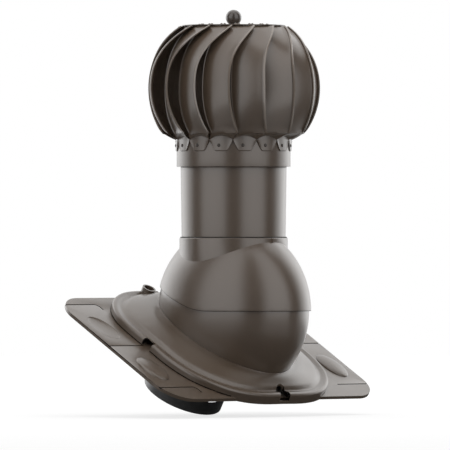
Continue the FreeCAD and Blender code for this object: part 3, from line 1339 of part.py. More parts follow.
def make_top_disc():
    """Flat disc that closes the rotor, drilled for the blade rivets, the finial and the housing."""
    body = new_body("top_disc_blank")
    high = z.disc_low + z.disc_thick
    sketch = outline(body, "top_disc_profile", "XZ_Plane", ring_profile(
        z.stud_radius + z.snug_gap, z.disc_radius, z.disc_low, high))
    revolve(body, sketch, "top_disc_turned")
    holes = doc.addObject("Part::Feature", "top_disc_drillings")
    drill = Part.makeCylinder(float(z.top_rivet_radius + z.pin_gap), 10, FreeCAD.Vector(0, 0, -5))
    shapes = placed_copies(drill, top_rivet_places(z.disc_low))
    drill = Part.makeCylinder(float(z.small_screw_radius + z.pin_gap), 10, FreeCAD.Vector(0, 0, -5))
    shapes += placed_copies(drill, ring_places(housing_screw_ring, z.disc_low, HOUSING_SCREWS, HOUSING_SCREW_START))
    holes.Shape = Part.makeCompound(shapes)
    keep(cut("top_disc_drilled", body, holes), "top_disc", STACK_FRAME)
    rivet = screw_shape(z.top_rivet_radius, z.disc_thick + z.snug_gap + z.blade_thick + 0.4, z.top_rivet_head,
                        z.top_rivet_height)
    copies("top_rivets", rivet, top_rivet_places(high), STACK_FRAME)


HOUSING_SCREWS = 3
HOUSING_SCREW_START = 60.0
housing_screw_ring = (z.housing_radius + z.housing_flange) / 2


def make_housing():
    """Upper bearing housing hung under the top disc, closed above and tapped for the finial."""
    seat = z.bearing_radius + z.pin_gap / 5
    bearing_top = z.upper_bearing_low + z.bearing_width
    cavity_top = z.axle_top + 0.6
    flange_low = z.disc_low - z.arm_thick
    body = new_body("bearing_housing_blank")
    sketch = outline(body, "housing_profile", "XZ_Plane", [
        (seat, z.housing_low), (z.housing_radius, z.housing_low), (z.housing_radius, flange_low),
        (z.housing_flange, flange_low), (z.housing_flange, z.disc_low), (z.stud_radius + z.pin_gap, z.disc_low),
        (z.stud_radius + z.pin_gap, z.disc_low - z.stud_length), (0, z.disc_low - z.stud_length), (0, cavity_top),
        (z.bearing_radius - 1.5, cavity_top), (z.bearing_radius - 1.5, bearing_top), (seat, bearing_top)])
    revolve(body, sketch, "housing_turned")
    holes = doc.addObject("Part::Feature", "housing_drillings")
    drill = Part.makeCylinder(float(z.small_screw_radius), 10, FreeCAD.Vector(0, 0, -5))
    holes.Shape = Part.makeCompound(placed_copies(drill, ring_places(
        housing_screw_ring, z.disc_low, HOUSING_SCREWS, HOUSING_SCREW_START)))
    keep(cut("bearing_housing_drilled", body, holes), "bearing_housing", STACK_FRAME)
    screw = screw_shape(z.small_screw_radius - z.pin_gap, z.disc_thick + z.arm_thick, z.small_head_radius,
                        z.small_head_height * 0.7)
    copies("housing_screws", screw, ring_places(housing_screw_ring, z.disc_low + z.disc_thick, HOUSING_SCREWS,
                                                HOUSING_SCREW_START), STACK_FRAME)


def make_finial():
    """Finial ball with the short foot that stands on the disc and its stud."""
    high = z.disc_low + z.disc_thick
    ball = bind(doc.addObject("Part::Sphere", "finial_round"), Radius=z.ball_radius)
    place_at(ball, 0, 0, high + z.ball_rise)
    foot = place_at(cylinder("finial_foot", z.ball_neck_radius, z.ball_rise), 0, 0, high)
    stud_length = z.stud_length - 0.5 + z.disc_thick + 1
    stud = place_at(cylinder("finial_stud", z.stud_radius, stud_length), 0, 0, high + 1 - stud_length)
    above = cut("finial_ball_over_disc", ball, place_at(
        cylinder("finial_flat", z.ball_radius, z.ball_radius), 0, 0, high - z.ball_radius))
    keep(fuse("finial", [above, foot, stud]), "finial", STACK_FRAME)


def build():
    make_roof_plate()
    make_cowl()
    make_lower_shell()
    make_gasket()
    make_spigot()
    make_plate_fasteners()
    make_pivot_pins()
    make_upper_hood()
    make_sleeve_seal()
    make_pipes()
    make_pivot_yoke()
    make_yoke_screws()
    make_axle_spider()
    make_axle()
    make_bearings()
    make_collar()
    make_lower_rotor_spider()
    make_collar_rivets()
    make_top_disc()
    make_housing()
    make_finial()
    make_blades()
    doc.recompute()


def check_document():
    """Stops if any object failed, or a sub-part is not a valid solid."""
    for item in doc.Objects:
        if "Invalid" in item.State or "Error" in item.State:
            raise RuntimeError("%s failed: %s" % (item.Label, item.State))
    for item in nodes:
        shape = item.Shape
        if shape.isNull() or not shape.isValid() or not shape.Solids:
            raise RuntimeError("%s has no valid solid" % item.Label)


def export():
    os.makedirs("parts", exist_ok=True)
    for item in nodes:
        item.Shape.exportStep("parts/%s.step" % item.Label)
        print("%-22s %2d solids %10.1f mm3" % (item.Label, len(item.Shape.Solids), item.Shape.Volume))


build()
check_document()
export()
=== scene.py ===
import json
import math

import bmesh
import bpy
from bpy.props import FloatProperty, FloatVectorProperty, IntProperty, PointerProperty
from mathutils import Matrix, Vector

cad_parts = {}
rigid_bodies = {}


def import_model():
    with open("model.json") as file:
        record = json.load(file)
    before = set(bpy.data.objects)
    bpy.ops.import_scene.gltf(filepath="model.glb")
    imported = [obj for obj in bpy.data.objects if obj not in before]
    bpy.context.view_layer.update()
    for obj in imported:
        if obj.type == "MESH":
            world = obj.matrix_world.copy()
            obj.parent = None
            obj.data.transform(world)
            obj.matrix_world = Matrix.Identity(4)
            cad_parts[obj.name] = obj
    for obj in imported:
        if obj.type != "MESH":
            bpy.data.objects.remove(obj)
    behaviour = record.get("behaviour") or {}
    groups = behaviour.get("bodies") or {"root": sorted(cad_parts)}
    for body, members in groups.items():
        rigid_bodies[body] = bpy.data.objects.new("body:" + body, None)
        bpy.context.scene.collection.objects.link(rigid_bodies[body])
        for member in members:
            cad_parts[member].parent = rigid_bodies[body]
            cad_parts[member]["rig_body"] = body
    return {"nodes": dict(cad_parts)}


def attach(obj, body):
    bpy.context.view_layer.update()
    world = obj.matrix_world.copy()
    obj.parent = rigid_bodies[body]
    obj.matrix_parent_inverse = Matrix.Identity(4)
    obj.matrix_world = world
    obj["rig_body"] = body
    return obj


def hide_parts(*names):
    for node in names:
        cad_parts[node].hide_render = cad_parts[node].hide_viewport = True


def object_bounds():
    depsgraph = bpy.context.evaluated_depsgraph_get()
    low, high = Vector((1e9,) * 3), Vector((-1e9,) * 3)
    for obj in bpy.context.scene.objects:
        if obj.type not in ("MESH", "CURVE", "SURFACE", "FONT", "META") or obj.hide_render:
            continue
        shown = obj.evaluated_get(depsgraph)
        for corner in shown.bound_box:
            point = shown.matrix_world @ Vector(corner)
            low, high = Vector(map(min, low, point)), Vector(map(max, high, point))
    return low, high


bl_info = {
    "name": "Roof turbine ventilator",
    "version": (1, 0, 0),
    "blender": (4, 5, 0),
    "location": "3D View > Sidebar > Ventilator",
    "description": "Dresses a roof turbine ventilator for a pitched roof: rotor, pipes, hood and flashing",
    "category": "Object",
}

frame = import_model()
CAD_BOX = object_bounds()

# Named sizes are in millimetres and turns in degrees, unless a line says otherwise.
# Heights of the rotor, pipes and hood are over the pitch pivot. Those of the plate and the cowl are
# square to the plate.

MM = 0.001
ROOF_SLOPE = 30
PLATE = Matrix.Rotation(math.radians(ROOF_SLOPE), 4, "X")
TO_PLATE = PLATE.inverted()
PIVOT = PLATE @ Vector((0, -31 * MM, 69.2 * MM))
STACK = Matrix.Translation(PIVOT)
RING_STEPS = 128


# Sizes and colours that a user would change

def length(name, description, default):
    return FloatProperty(name=name, description=description, default=default * MM, min=0, unit="LENGTH")


def colour(name, description, default):
    return FloatVectorProperty(name=name, description=description, default=default, size=3, min=0, max=1,
                               subtype="COLOR")


class VentRotorSizes(bpy.types.PropertyGroup):
    blade_count: IntProperty(name="Blades", description="Number of rotor blades", default=15, min=3, max=36)
    radius: length("Radius", "Rotor at its widest", 129.3)
    belly: length("Belly height", "Widest place over the pitch pivot", 339)
    crown: length("Crown", "Half height of the ellipse above the belly", 120.5)
    skirt: length("Skirt", "Half height of the ellipse below the belly", 124.3)
    sheet: length("Sheet", "Thickness of the blades", 0.8)
    lip: length("Lip", "Width of the flared lip", 4.7)
    hem: length("Hem", "Radius of the rolled edge of the lip", 0.95)


class VentColours(bpy.types.PropertyGroup):
    paint: colour("Paint", "Paint of the rotor, pipe, hood and shell", (0.105, 0.074, 0.0515))
    # Lighter than the paint: a painted highlight along the blades' rolled hems
    hem: colour("Hem highlight", "Paint of the blades' rolled hems", (0.19, 0.152, 0.122))
    ball: colour("Finial", "Paint of the finial ball", (0.055, 0.042, 0.034))
    rivet: colour("Rivets", "Paint of the collar rivets", (0.05, 0.039, 0.031))
    plate: colour("Flashing", "Moulded flashing plate and cowl", (0.103, 0.073, 0.05))
    # Painted shade: near-black, laid where shadow falls in the plate's grooves, the cowl's notches and foot,
    # and under the hood's lower edge
    groove: colour("Painted shade", "Shade of the plate's grooves, the notches and the hood's lower edge",
                   (0.008, 0.006, 0.005))
    spigot: colour("Spigot", "Moulded duct spigot and upper ring", (0.11, 0.11, 0.112))
    rubber: colour("Rubber", "Seals", (0.02, 0.02, 0.02))
    zinc: colour("Zinc", "Plated screws and galvanised sheet", (0.55, 0.56, 0.57))
    steel: colour("Steel", "Axle, pins and bearings", (0.5, 0.5, 0.51))
    foam: colour("Foam", "Insulation between the pipes", (0.5, 0.5, 0.48))


class VentStage(bpy.types.PropertyGroup):
    lens: FloatProperty(name="Lens", description="Focal length of the camera in millimetres", default=700,
                        min=35)
    frame_width: length("Frame width", "Width that the camera frames at the object", 684.5)
    azimuth: FloatProperty(name="Azimuth", description="Camera's place round the object", subtype="ANGLE",
                           default=math.radians(-45))


# Shader node groups and finishes

FINE_DETAIL = 3
BROAD_SCALE = 14
BROAD_DETAIL = 2
GRAIN_DEPTH = 0.1


def new_group(name, inputs, outputs):
    """An empty shader group with named sockets."""
    group = bpy.data.node_groups.new(name, "ShaderNodeTree")
    for label, kind, default in inputs:
        socket = group.interface.new_socket(label, in_out="INPUT", socket_type=kind)
        if default is not None:
            socket.default_value = default
    for label, kind in outputs:
        group.interface.new_socket(label, in_out="OUTPUT", socket_type=kind)
    return group, group.nodes.new("NodeGroupInput"), group.nodes.new("NodeGroupOutput")


def grain_group():
    """Fine grain of a moulded or painted surface: a little change of shade, gloss and height."""
    group, given, result = new_group(
        "surface_grain",
        [("Colour", "NodeSocketColor", None), ("Scale", "NodeSocketFloat", 900.0),
         ("Roughness", "NodeSocketFloat", 0.4), ("Gloss spread", "NodeSocketFloat", 0.06),
         ("Shade spread", "NodeSocketFloat", 0.08), ("Height", "NodeSocketFloat", 0.05)],
        [("Base Color", "NodeSocketColor"), ("Roughness", "NodeSocketFloat"), ("Normal", "NodeSocketVector")])
    nodes, links = group.nodes, group.links
    place = nodes.new("ShaderNodeTexCoord")
    fine = nodes.new("ShaderNodeTexNoise")
    fine.inputs["Detail"].default_value = FINE_DETAIL
    broad = nodes.new("ShaderNodeTexNoise")
    broad.inputs["Scale"].default_value = BROAD_SCALE
    broad.inputs["Detail"].default_value = BROAD_DETAIL
    links.new(place.outputs["Object"], fine.inputs["Vector"])
    links.new(place.outputs["Object"], broad.inputs["Vector"])
    links.new(given.outputs["Scale"], fine.inputs["Scale"])
    gloss = centred(group, broad.outputs["Fac"], given.outputs["Gloss spread"], given.outputs["Roughness"])
    links.new(gloss, result.inputs["Roughness"])
    shade = centred(group, fine.outputs["Fac"], given.outputs["Shade spread"], None)
    tint = nodes.new("ShaderNodeVectorMath")
    tint.operation = "SCALE"
    links.new(given.outputs["Colour"], tint.inputs[0])
    links.new(shade, tint.inputs["Scale"])
    links.new(tint.outputs[0], result.inputs["Base Color"])
    bump = nodes.new("ShaderNodeBump")
    bump.inputs["Distance"].default_value = GRAIN_DEPTH * MM
    links.new(given.outputs["Height"], bump.inputs["Strength"])
    links.new(fine.outputs["Fac"], bump.inputs["Height"])
    links.new(bump.outputs["Normal"], result.inputs["Normal"])
    return group


def centred(group, wave, spread, middle):
    """A noise of 0 to 1 turned into a spread about a middle value, which is 1 where none is given."""
    nodes, links = group.nodes, group.links
    shift = nodes.new("ShaderNodeMath")
    shift.operation = "SUBTRACT"
    shift.inputs[1].default_value = 0.5
    links.new(wave, shift.inputs[0])
    scaled = nodes.new("ShaderNodeMath")
    scaled.operation = "MULTIPLY_ADD"
    links.new(shift.outputs[0], scaled.inputs[0])
    links.new(spread, scaled.inputs[1])
    scaled.inputs[2].default_value = 1.0
    if middle is not None:
        links.new(middle, scaled.inputs[2])
    return scaled.outputs[0]


PLAIN = dict(metallic=0.0, coat=0.0, coat_rough=0.3, coat_ior=1.5, specular=0.5)
FINISHES = {
    "satin paint": dict(PLAIN, colour="paint", roughness=0.36, coat=1.0, coat_ior=1.8, scale=2600,
                        shade=0.35, height=0.02),
    "rivet paint": dict(PLAIN, colour="rivet", roughness=0.3, metallic=0.4, coat=0.5, coat_rough=0.15,
                        coat_ior=1.6, scale=2600, shade=0.2, height=0.02),
    "moulded plate": dict(PLAIN, colour="plate", roughness=0.45, coat=1.0, coat_rough=0.27, coat_ior=1.75,
                          scale=1500, shade=0.12, height=0.12),
    # Near-black with little specular: painted shade for grooves, notches, the cowl's foot and the hood's
    # lower edge
    "groove shade": dict(PLAIN, colour="groove", roughness=0.7, specular=0.05, scale=1200, shade=0.3,
                         height=0.1),
    # Lighter, glossier copy of the satin paint: a painted highlight on the rolled hems
    "hem painted highlight": dict(PLAIN, colour="hem", roughness=0.36, coat=1.0, coat_rough=0.2, coat_ior=1.8,
                      scale=2600, shade=0.3, height=0.02),
    "ball paint": dict(PLAIN, colour="ball", roughness=0.36, coat=1.0, coat_rough=0.22, coat_ior=1.65,
                       scale=2600, shade=0.3, height=0.02),
    "dark spigot": dict(PLAIN, colour="spigot", roughness=0.45, coat=0.6, scale=1200, shade=0.1, height=0.1),
    "black rubber": dict(PLAIN, colour="rubber", roughness=0.75, scale=900, shade=0.1, height=0.2),
    "zinc": dict(PLAIN, colour="zinc", roughness=0.36, metallic=1.0, scale=300, shade=0.25, height=0.04),
    "steel": dict(PLAIN, colour="steel", roughness=0.24, metallic=1.0, scale=700, shade=0.1, height=0.03),
    "foam": dict(PLAIN, colour="foam", roughness=0.9, scale=420, shade=0.4, height=0.8),
}
GRAIN_SOCKETS = {"Scale": "scale", "Roughness": "roughness", "Shade spread": "shade", "Height": "height"}
SHADER_SOCKETS = {"Metallic": "metallic", "Specular IOR Level": "specular", "Coat Weight": "coat",
                  "Coat Roughness": "coat_rough", "Coat IOR": "coat_ior"}


def finish(name):
    """The named finish, made once."""
    material = bpy.data.materials.get(name)
    if material:
        return material
    facts = FINISHES[name]
    material = bpy.data.materials.new(name)
    material.use_nodes = True
    nodes, links = material.node_tree.nodes, material.node_tree.links
    shader = nodes["Principled BSDF"]
    grain = nodes.new("ShaderNodeGroup")
    grain.node_tree = bpy.data.node_groups.get("surface_grain") or grain_group()
    shade = getattr(bpy.context.scene.vent_colours, facts["colour"])
    grain.inputs["Colour"].default_value = (*shade, 1)
    for socket, fact in GRAIN_SOCKETS.items():
        grain.inputs[socket].default_value = facts[fact]
    for socket in ("Base Color", "Roughness", "Normal"):
        links.new(grain.outputs[socket], shader.inputs[socket])
    for socket, fact in SHADER_SOCKETS.items():
        shader.inputs[socket].default_value = facts[fact]
    return material


# Mesh helpers

WELD = 0.001
SLIVER = 0.0005
SHARP = 35
CAD_WELD = 0.002
CAD_SLIVER = 0.001
CAD_SHARP = 30
SMALLEST_CORNER = 30


def as_mesh(name, bm):
    """The bmesh as a new mesh. The bmesh is used up."""
    mesh = bpy.data.meshes.new(name)
    bm.to_mesh(mesh)
    bm.free()
    return mesh


def linked(name, data):
    """A new object in the scene."""
    item = bpy.data.objects.new(name, data)
    bpy.context.scene.collection.objects.link(item)
    return item


def stand_for(node, bm, *looks, sharp=SHARP):
    """Finishes a bmesh as the piece that takes a CAD node's place. Its faces pick their look by index."""
    mesh = as_mesh(node + "_skin", bm)
    mesh.polygons.foreach_set("use_smooth", [True] * len(mesh.polygons))
    mesh.set_sharp_from_angle(angle=math.radians(sharp))
    for look in looks:
        mesh.materials.append(finish(look))
    piece = linked(node + "_skin", mesh)
    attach(piece, frame["nodes"][node]["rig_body"])
    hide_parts(node)
    return piece


def smooth_copy(node, *looks, sharp=CAD_SHARP, change=None):
    """A welded, smoothly shaded copy of a CAD node, with its form changed where asked."""
    bm = bmesh.new()
    bm.from_mesh(frame["nodes"][node].data)
    bmesh.ops.remove_doubles(bm, verts=bm.verts, dist=CAD_WELD * MM)
    bmesh.ops.dissolve_degenerate(bm, edges=bm.edges, dist=CAD_SLIVER * MM)
    if change:
        change(bm)
    piece = stand_for(node, bm, *looks, sharp=sharp)
    normals = piece.data.attributes.get("custom_normal")
    if normals:
        piece.data.attributes.remove(normals)
        piece.data.set_sharp_from_angle(angle=math.radians(sharp))


def smooth_copies(nodes, look):
    for node in nodes:
        smooth_copy(node, look)


def spun(profile, steps=RING_STEPS, rounding=0.0):
    """A turned form: a closed profile of (radius, height) corners spun about Z."""
    bm = bmesh.new()
    verts = [bm.verts.new((radius * MM, 0, height * MM)) for radius, height in profile]
    edges = [bm.edges.new((verts[i - 1], verts[i])) for i in range(len(verts))]
    bmesh.ops.spin(bm, geom=verts + edges, cent=(0, 0, 0), axis=(0, 0, 1), angle=math.tau, steps=steps,
                   use_merge=True)
    bmesh.ops.remove_doubles(bm, verts=bm.verts, dist=WELD * MM)
    bmesh.ops.dissolve_degenerate(bm, edges=bm.edges, dist=SLIVER * MM)
    bmesh.ops.recalc_face_normals(bm, faces=bm.faces)
    if rounding:
        corners = [edge for edge in bm.edges if bend(edge) > SMALLEST_CORNER]
        bmesh.ops.bevel(bm, geom=corners, offset=rounding * MM, affect="EDGES", segments=2, profile=0.5,
                        material=-1)
    return bm


def tube(inner, outer, low, high, rounding=0.0, widening=0.0):
    """A round tube, or a disc where the inner radius is 0, that may widen toward its top."""
    return spun([(inner, low), (outer, low), (outer + widening, high), (inner + widening, high)],
                rounding=rounding)


def bend(edge):
    """How sharply the surface turns at an edge."""
    return math.degrees(edge.calc_face_angle(0)) if edge.is_manifold else 0.0


def darkened_bevel(bm, edges, width, segments):
    """Rounds some edges and gives the new faces the second look, which both callers make painted shade."""
    made = bmesh.ops.bevel(bm, geom=edges, offset=width * MM, affect="EDGES", segments=segments, profile=0.5,
                           material=-1, clamp_overlap=True)
    for face in made["faces"]:
        face.material_index = 1


def joined(bm, other):
    """The first bmesh with the other added, which is used up."""
    mesh = as_mesh("joined", other)
    bm.from_mesh(mesh)
    bpy.data.meshes.remove(mesh)
    return bm


def placed(bm, place):
    bmesh.ops.transform(bm, matrix=place, verts=bm.verts)
    return bm


def repeated(form, places):
    """Copies of one form, each at a place, in one bmesh. The form is used up."""
    bm = bmesh.new()
    for place in places:
        joined(bm, placed(form.copy(), place))
    form.free()
    return bm


def turn_z(degrees):
    return Matrix.Rotation(math.radians(degrees), 4, "Z")


def at(across, along, up):
    return Matrix.Translation((across * MM, along * MM, up * MM))


def sized(across, along, up):
    """Turns a unit cube into a block."""
    return Matrix.Diagonal((across * MM, along * MM, up * MM, 1))


# Rotor

BLADE_TURN = -137.9
TAB_TURN = -9.8
RIVET_TURN = -12.0
TOP_TAB_TURN = 9

PANEL_COLUMNS = 14
LIP_COLUMNS = 4
HEM_COLUMNS = 5
COLUMNS = PANEL_COLUMNS + LIP_COLUMNS + HEM_COLUMNS
TAB_ROWS = 7
PAN_ROWS = 4
MAIN_ROWS = 44
ROWS = TAB_ROWS + PAN_ROWS + MAIN_ROWS

BLADE_LOW = 269.5
BLADE_HIGH = 432.3
CROWN_TWIST = 26.0
CROWN_RISE = 94.0
CROWN_CURVE = 3.2
SKIRT_TWIST = 6.0
SKIRT_DROP = 69.5
SKIRT_CURVE = 2.3


def rotor(name):
    """A size of the rotor in millimetres."""
    return getattr(bpy.context.scene.vent_rotor, name) / MM


def rotor_radius(height):
    """Radius of the blades' outer edge at a height."""
    offset = height - rotor("belly")
    half = rotor("crown") if offset > 0 else rotor("skirt")
    return rotor("radius") * math.sqrt(max(0.0, 1 - (offset / half) ** 2))


def edge_turn(height):
    """Turn of the blades' outer edge at a height, which grows toward both ends."""
    offset = height - rotor("belly")
    if offset > 0:
        return CROWN_TWIST * (offset / CROWN_RISE) ** CROWN_CURVE
    return SKIRT_TWIST * (-offset / SKIRT_DROP) ** SKIRT_CURVE


# Section of the panel, which is hollow between its inner edge and the lip

PANEL_TURN = 23
CROWN_FOLLOW = 0.5
INNER_SHARE = 0.905
HOLLOW = 0.075
HOLLOW_MIDDLE = 350
HOLLOW_HALF = 83
PANEL_CURVE = 0.85
INNER_STRIP = 0.02
INNER_TURNED = 1.3


def panel_foot(column, height, foot_radius, foot_turn):
    """A point between the panel's turned inner edge and the lip's foot."""
    middle = max(0.0, 1 - ((height - HOLLOW_MIDDLE) / HOLLOW_HALF) ** 2)
    inner_radius = (INNER_SHARE - HOLLOW * middle) * rotor_radius(height)
    follow = CROWN_FOLLOW if height > rotor("belly") else 1.0
    inner_turn = follow * edge_turn(height) - PANEL_TURN
    if column == 0:
        return inner_radius + INNER_TURNED, inner_turn
    share = INNER_STRIP + (1 - INNER_STRIP) * (column - 1) / (PANEL_COLUMNS - 1)
    bulge = 1 - (1 - share) ** PANEL_CURVE
    return (inner_radius + (foot_radius - inner_radius) * bulge,
            inner_turn + (foot_turn - inner_turn) * share)


# Flared lip, which widens toward the crown, and its rolled hem

LIP_OUT = 0.62
LIP_ROUND = 0.79
LIP_CURVE = 1.35
LIP_FADE = 7.0
WIDER_FROM = 385
WIDER_OVER = 48
WIDER_BY = 0.9
WIDER_CURVE = 1.5
HEM_LEAST = 0.3
HEM_START = -40
HEM_SWEEP = 250
HEM_RISE = 0.64


def lip_fade(height):
    """The lip and its hem flatten out toward the blade's lower corner."""
    share = min(1.0, (height - BLADE_LOW) / LIP_FADE)
    return share * share * (3 - 2 * share)


def panel_point(column, height):
    """A point of the curved panel: columns run from the inner edge to the lip and round its rolled hem."""
    radius = rotor_radius(height)
    twist = edge_turn(height)
    fade = lip_fade(height)
    wide = 1.0 + WIDER_BY * max(0.0, (height - WIDER_FROM) / WIDER_OVER) ** WIDER_CURVE
    lip_out = rotor("lip") * LIP_OUT * wide * fade
    lip_turn = math.degrees(rotor("lip") * LIP_ROUND * wide / radius)
    foot_radius = radius - lip_out
    foot_turn = twist - lip_turn
    if column <= PANEL_COLUMNS:
        return panel_foot(column, height, foot_radius, foot_turn)
    if column <= PANEL_COLUMNS + LIP_COLUMNS:
        share = (column - PANEL_COLUMNS) / LIP_COLUMNS
        return foot_radius + lip_out * share ** LIP_CURVE, foot_turn + lip_turn * share
    share = (column - PANEL_COLUMNS - LIP_COLUMNS) / HEM_COLUMNS
    hem = rotor("hem") * (HEM_LEAST + (1 - HEM_LEAST) * fade)
    start = math.radians(HEM_START)
    swing = start + math.radians(HEM_SWEEP * share)
    return (radius + hem * (math.sin(swing) + HEM_RISE),
            twist + math.degrees(hem * (math.cos(swing) - math.cos(start)) / radius))


# Petal-shaped tab on the collar

TAB_RADIUS = 87.2
TAB_HALF_TURN = 11.6
TAB_HALF_WIDTH = 17.7
TAB_FOOT = 242.2
TAB_FLAT = 8.5
TAB_ROUND = 2.5
TAB_SLOPE = 2.1
TAB_LEAST = 1.8
TAB_LEAN = 1.0
TAB_STAND_OFF = 1.3
FOLD_HEIGHT = 259.6
FOLD_ARCH = 5.6
FOOT_IN = 0.1
FOOT_LAP = 1.1
PAN_CURVE = 0.85


def tab_point(column, share):
    """A point of the tab: share runs from its turned-in foot to the fold."""
    side = 2 * column / COLUMNS - 1
    slant = max(0.0, abs(side) * TAB_HALF_WIDTH - TAB_FLAT)
    fold = FOLD_HEIGHT + FOLD_ARCH * (1 - side * side)
    foot = min(TAB_FOOT + slant * slant / (slant + TAB_ROUND) * TAB_SLOPE, fold - TAB_LEAST)
    radius = TAB_RADIUS + TAB_STAND_OFF * side ** 4
    turn = TAB_TURN + side * TAB_HALF_TURN
    if share == 0:
        return radius - FOOT_IN, turn, foot
    rise = (share * TAB_ROWS - 1) / (TAB_ROWS - 1)
    return radius + TAB_LEAN * (1 - rise), turn, (foot + FOOT_LAP) * (1 - rise) + fold * rise


def blade_point(column, row):
    """A point of one blade: its tab, the sloping pan above the fold, or its panel."""
    if row < TAB_ROWS:
        return tab_point(column, row / TAB_ROWS)
    if row < TAB_ROWS + PAN_ROWS:
        share = (row - TAB_ROWS) / PAN_ROWS
        low = tab_point(column, 1.0)
        radius, turn = panel_point(column, BLADE_LOW)
        return (low[0] + (radius - low[0]) * share ** PAN_CURVE, low[1] + (turn - low[1]) * share,
                low[2] + (BLADE_LOW - low[2]) * share)
    height = BLADE_LOW + (BLADE_HIGH - BLADE_LOW) * (row - TAB_ROWS - PAN_ROWS) / MAIN_ROWS
    return (*panel_point(column, height), height)


# Folded tab under the top disc

TOP_TAB_MIDDLE = (60.5, 0, 432.4)
TOP_TAB_SIZE = (29, 9, 0.8)


def blade_form():
    """One blade: a grid whose columns run across the sheet and whose rows run up it, with its folded tab."""
    bm = bmesh.new()
    bmesh.ops.create_grid(bm, x_segments=COLUMNS, y_segments=ROWS, size=0.5)
    for face in bm.faces:
        middle = face.calc_center_median()
        across = (middle.x + 0.5) * COLUMNS
        up = (middle.y + 0.5) * ROWS
        # Faces of the rolled hem take the second look, a painted highlight lighter than the paint
        if across > COLUMNS - HEM_COLUMNS and up > TAB_ROWS + PAN_ROWS:
            face.material_index = 1
    for vert in bm.verts:
        column = round((vert.co.x + 0.5) * COLUMNS)
        row = round((vert.co.y + 0.5) * ROWS)
        radius, turn, height = blade_point(column, row)
        angle = math.radians(turn)
        vert.co = (radius * math.cos(angle) * MM, radius * math.sin(angle) * MM, height * MM)
    bmesh.ops.recalc_face_normals(bm, faces=bm.faces)
    bmesh.ops.solidify(bm, geom=bm.faces, thickness=bpy.context.scene.vent_rotor.sheet)
    bmesh.ops.recalc_face_normals(bm, faces=bm.faces)
    tab = bmesh.new()
    bmesh.ops.create_cube(tab, size=1, matrix=at(*TOP_TAB_MIDDLE) @ sized(*TOP_TAB_SIZE))
    return joined(bm, placed(tab, turn_z(TOP_TAB_TURN)))


class VENT_OT_blades(bpy.types.Operator):
    """Rotor blades with their flared lips, rolled hems and folded tabs"""
    bl_idname = "vent.blades"
    bl_label = "Blades"

    def execute(self, context):
        count = context.scene.vent_rotor.blade_count
        form = blade_form()
        for index in range(count):
            blade = placed(form.copy(), STACK @ turn_z(BLADE_TURN + 360 * index / count))
            stand_for("blade_%02d" % (index + 1), blade, "satin paint", "hem painted highlight", sharp=40)
        form.free()
        return {"FINISHED"}


# Rivets

SIDE_SEAT = 87.65
SIDE_HEIGHT = 251
TOP_SEAT = 52
TOP_SPREAD = 2.5
RIVET_STEPS = 20
DOME_STEPS = 5
UPSET = 1
DISC_TOP = 434.4


def rivet_form(shank, depth, head, height, tail):
    """A domed rivet along +Z: head on top, shank, and the flattened tail below."""
    profile = []
    for step in range(DOME_STEPS + 1):
        angle = math.radians(90 * step / DOME_STEPS)
        profile.append((head * math.cos(angle), height * math.sin(angle)))
    profile += [(0, -depth - UPSET), (tail, -depth - UPSET), (tail, -depth), (shank, -depth), (shank, 0)]
    return spun(profile, RIVET_STEPS)


class VENT_OT_rivets(bpy.types.Operator):
    """Domed rivets of the collar tabs and the top disc"""
    bl_idname = "vent.rivets"
    bl_label = "Rivets"

    def execute(self, context):
        count = context.scene.vent_rotor.blade_count
        lying = Matrix.Rotation(math.pi / 2, 4, "Y")
        side = []
        top = []
        for index in range(count):
            blade = BLADE_TURN + 360 * index / count
            side.append(turn_z(blade + RIVET_TURN) @ at(SIDE_SEAT, 0, SIDE_HEIGHT) @ lying)
            for shift in (-TOP_SPREAD, TOP_SPREAD):
                top.append(turn_z(blade + TOP_TAB_TURN) @ at(TOP_SEAT, shift, DISC_TOP))
        rivets = repeated(rivet_form(shank=1.6, depth=4.6, head=2.7, height=1.7, tail=2.5), side)
        stand_for("collar_rivets", placed(rivets, STACK), "rivet paint", sharp=50)
        rivets = repeated(rivet_form(shank=1.1, depth=2.4, head=2.3, height=2.2, tail=1.5), top)
        stand_for("top_rivets", placed(rivets, STACK), "satin paint", sharp=50)
        return {"FINISHED"}


class VENT_OT_collar(bpy.types.Operator):
    """Collar ring that the blades are riveted to, and the band and arms inside it"""
    bl_idname = "vent.collar"
    bl_label = "Collar"

    def execute(self, context):
        ring = tube(inner=85.7, outer=86.7, low=219, high=260.5, rounding=0.2)
        stand_for("collar_ring", placed(ring, STACK), "satin paint")
        smooth_copy("lower_rotor_spider", "zinc")
        return {"FINISHED"}


# Crown

BALL_RADIUS = 12
BALL_MIDDLE = 445.8
BALL_STEP = 6.2
BALL_STEPS = 23
FOOT_RADIUS = 6.5
FOOT_HEIGHT = 1
STUD_RADIUS = 3
STUD_LOW = 427
SCREWS = 3
SCREW_TURN = 60
SCREW_SEAT = 23


def finial_form():
    """A ball on a short foot, with a stud below that holds it in the disc."""
    profile = [(0, BALL_MIDDLE + BALL_RADIUS)]
    for step in range(1, BALL_STEPS + 1):
        angle = math.radians(90 - BALL_STEP * step)
        profile.append((BALL_RADIUS * math.cos(angle), BALL_MIDDLE + BALL_RADIUS * math.sin(angle)))
    profile += [(FOOT_RADIUS, DISC_TOP + FOOT_HEIGHT), (FOOT_RADIUS, DISC_TOP), (STUD_RADIUS, DISC_TOP),
                (STUD_RADIUS, STUD_LOW), (0, STUD_LOW)]
    return spun(profile, steps=64, rounding=0.25)


def housing_screw_form():
    """A flat-headed screw: its head stands on the disc and its shank goes down into the housing."""
    head = spun([(0, 0), (3, 0), (3, 0.6), (2.2, 1.2), (0, 1.2)], steps=24, rounding=0.15)
    shank = spun([(0, -4.4), (1.45, -4.4), (1.45, 0), (0, 0)], steps=16)
    return joined(head, shank)


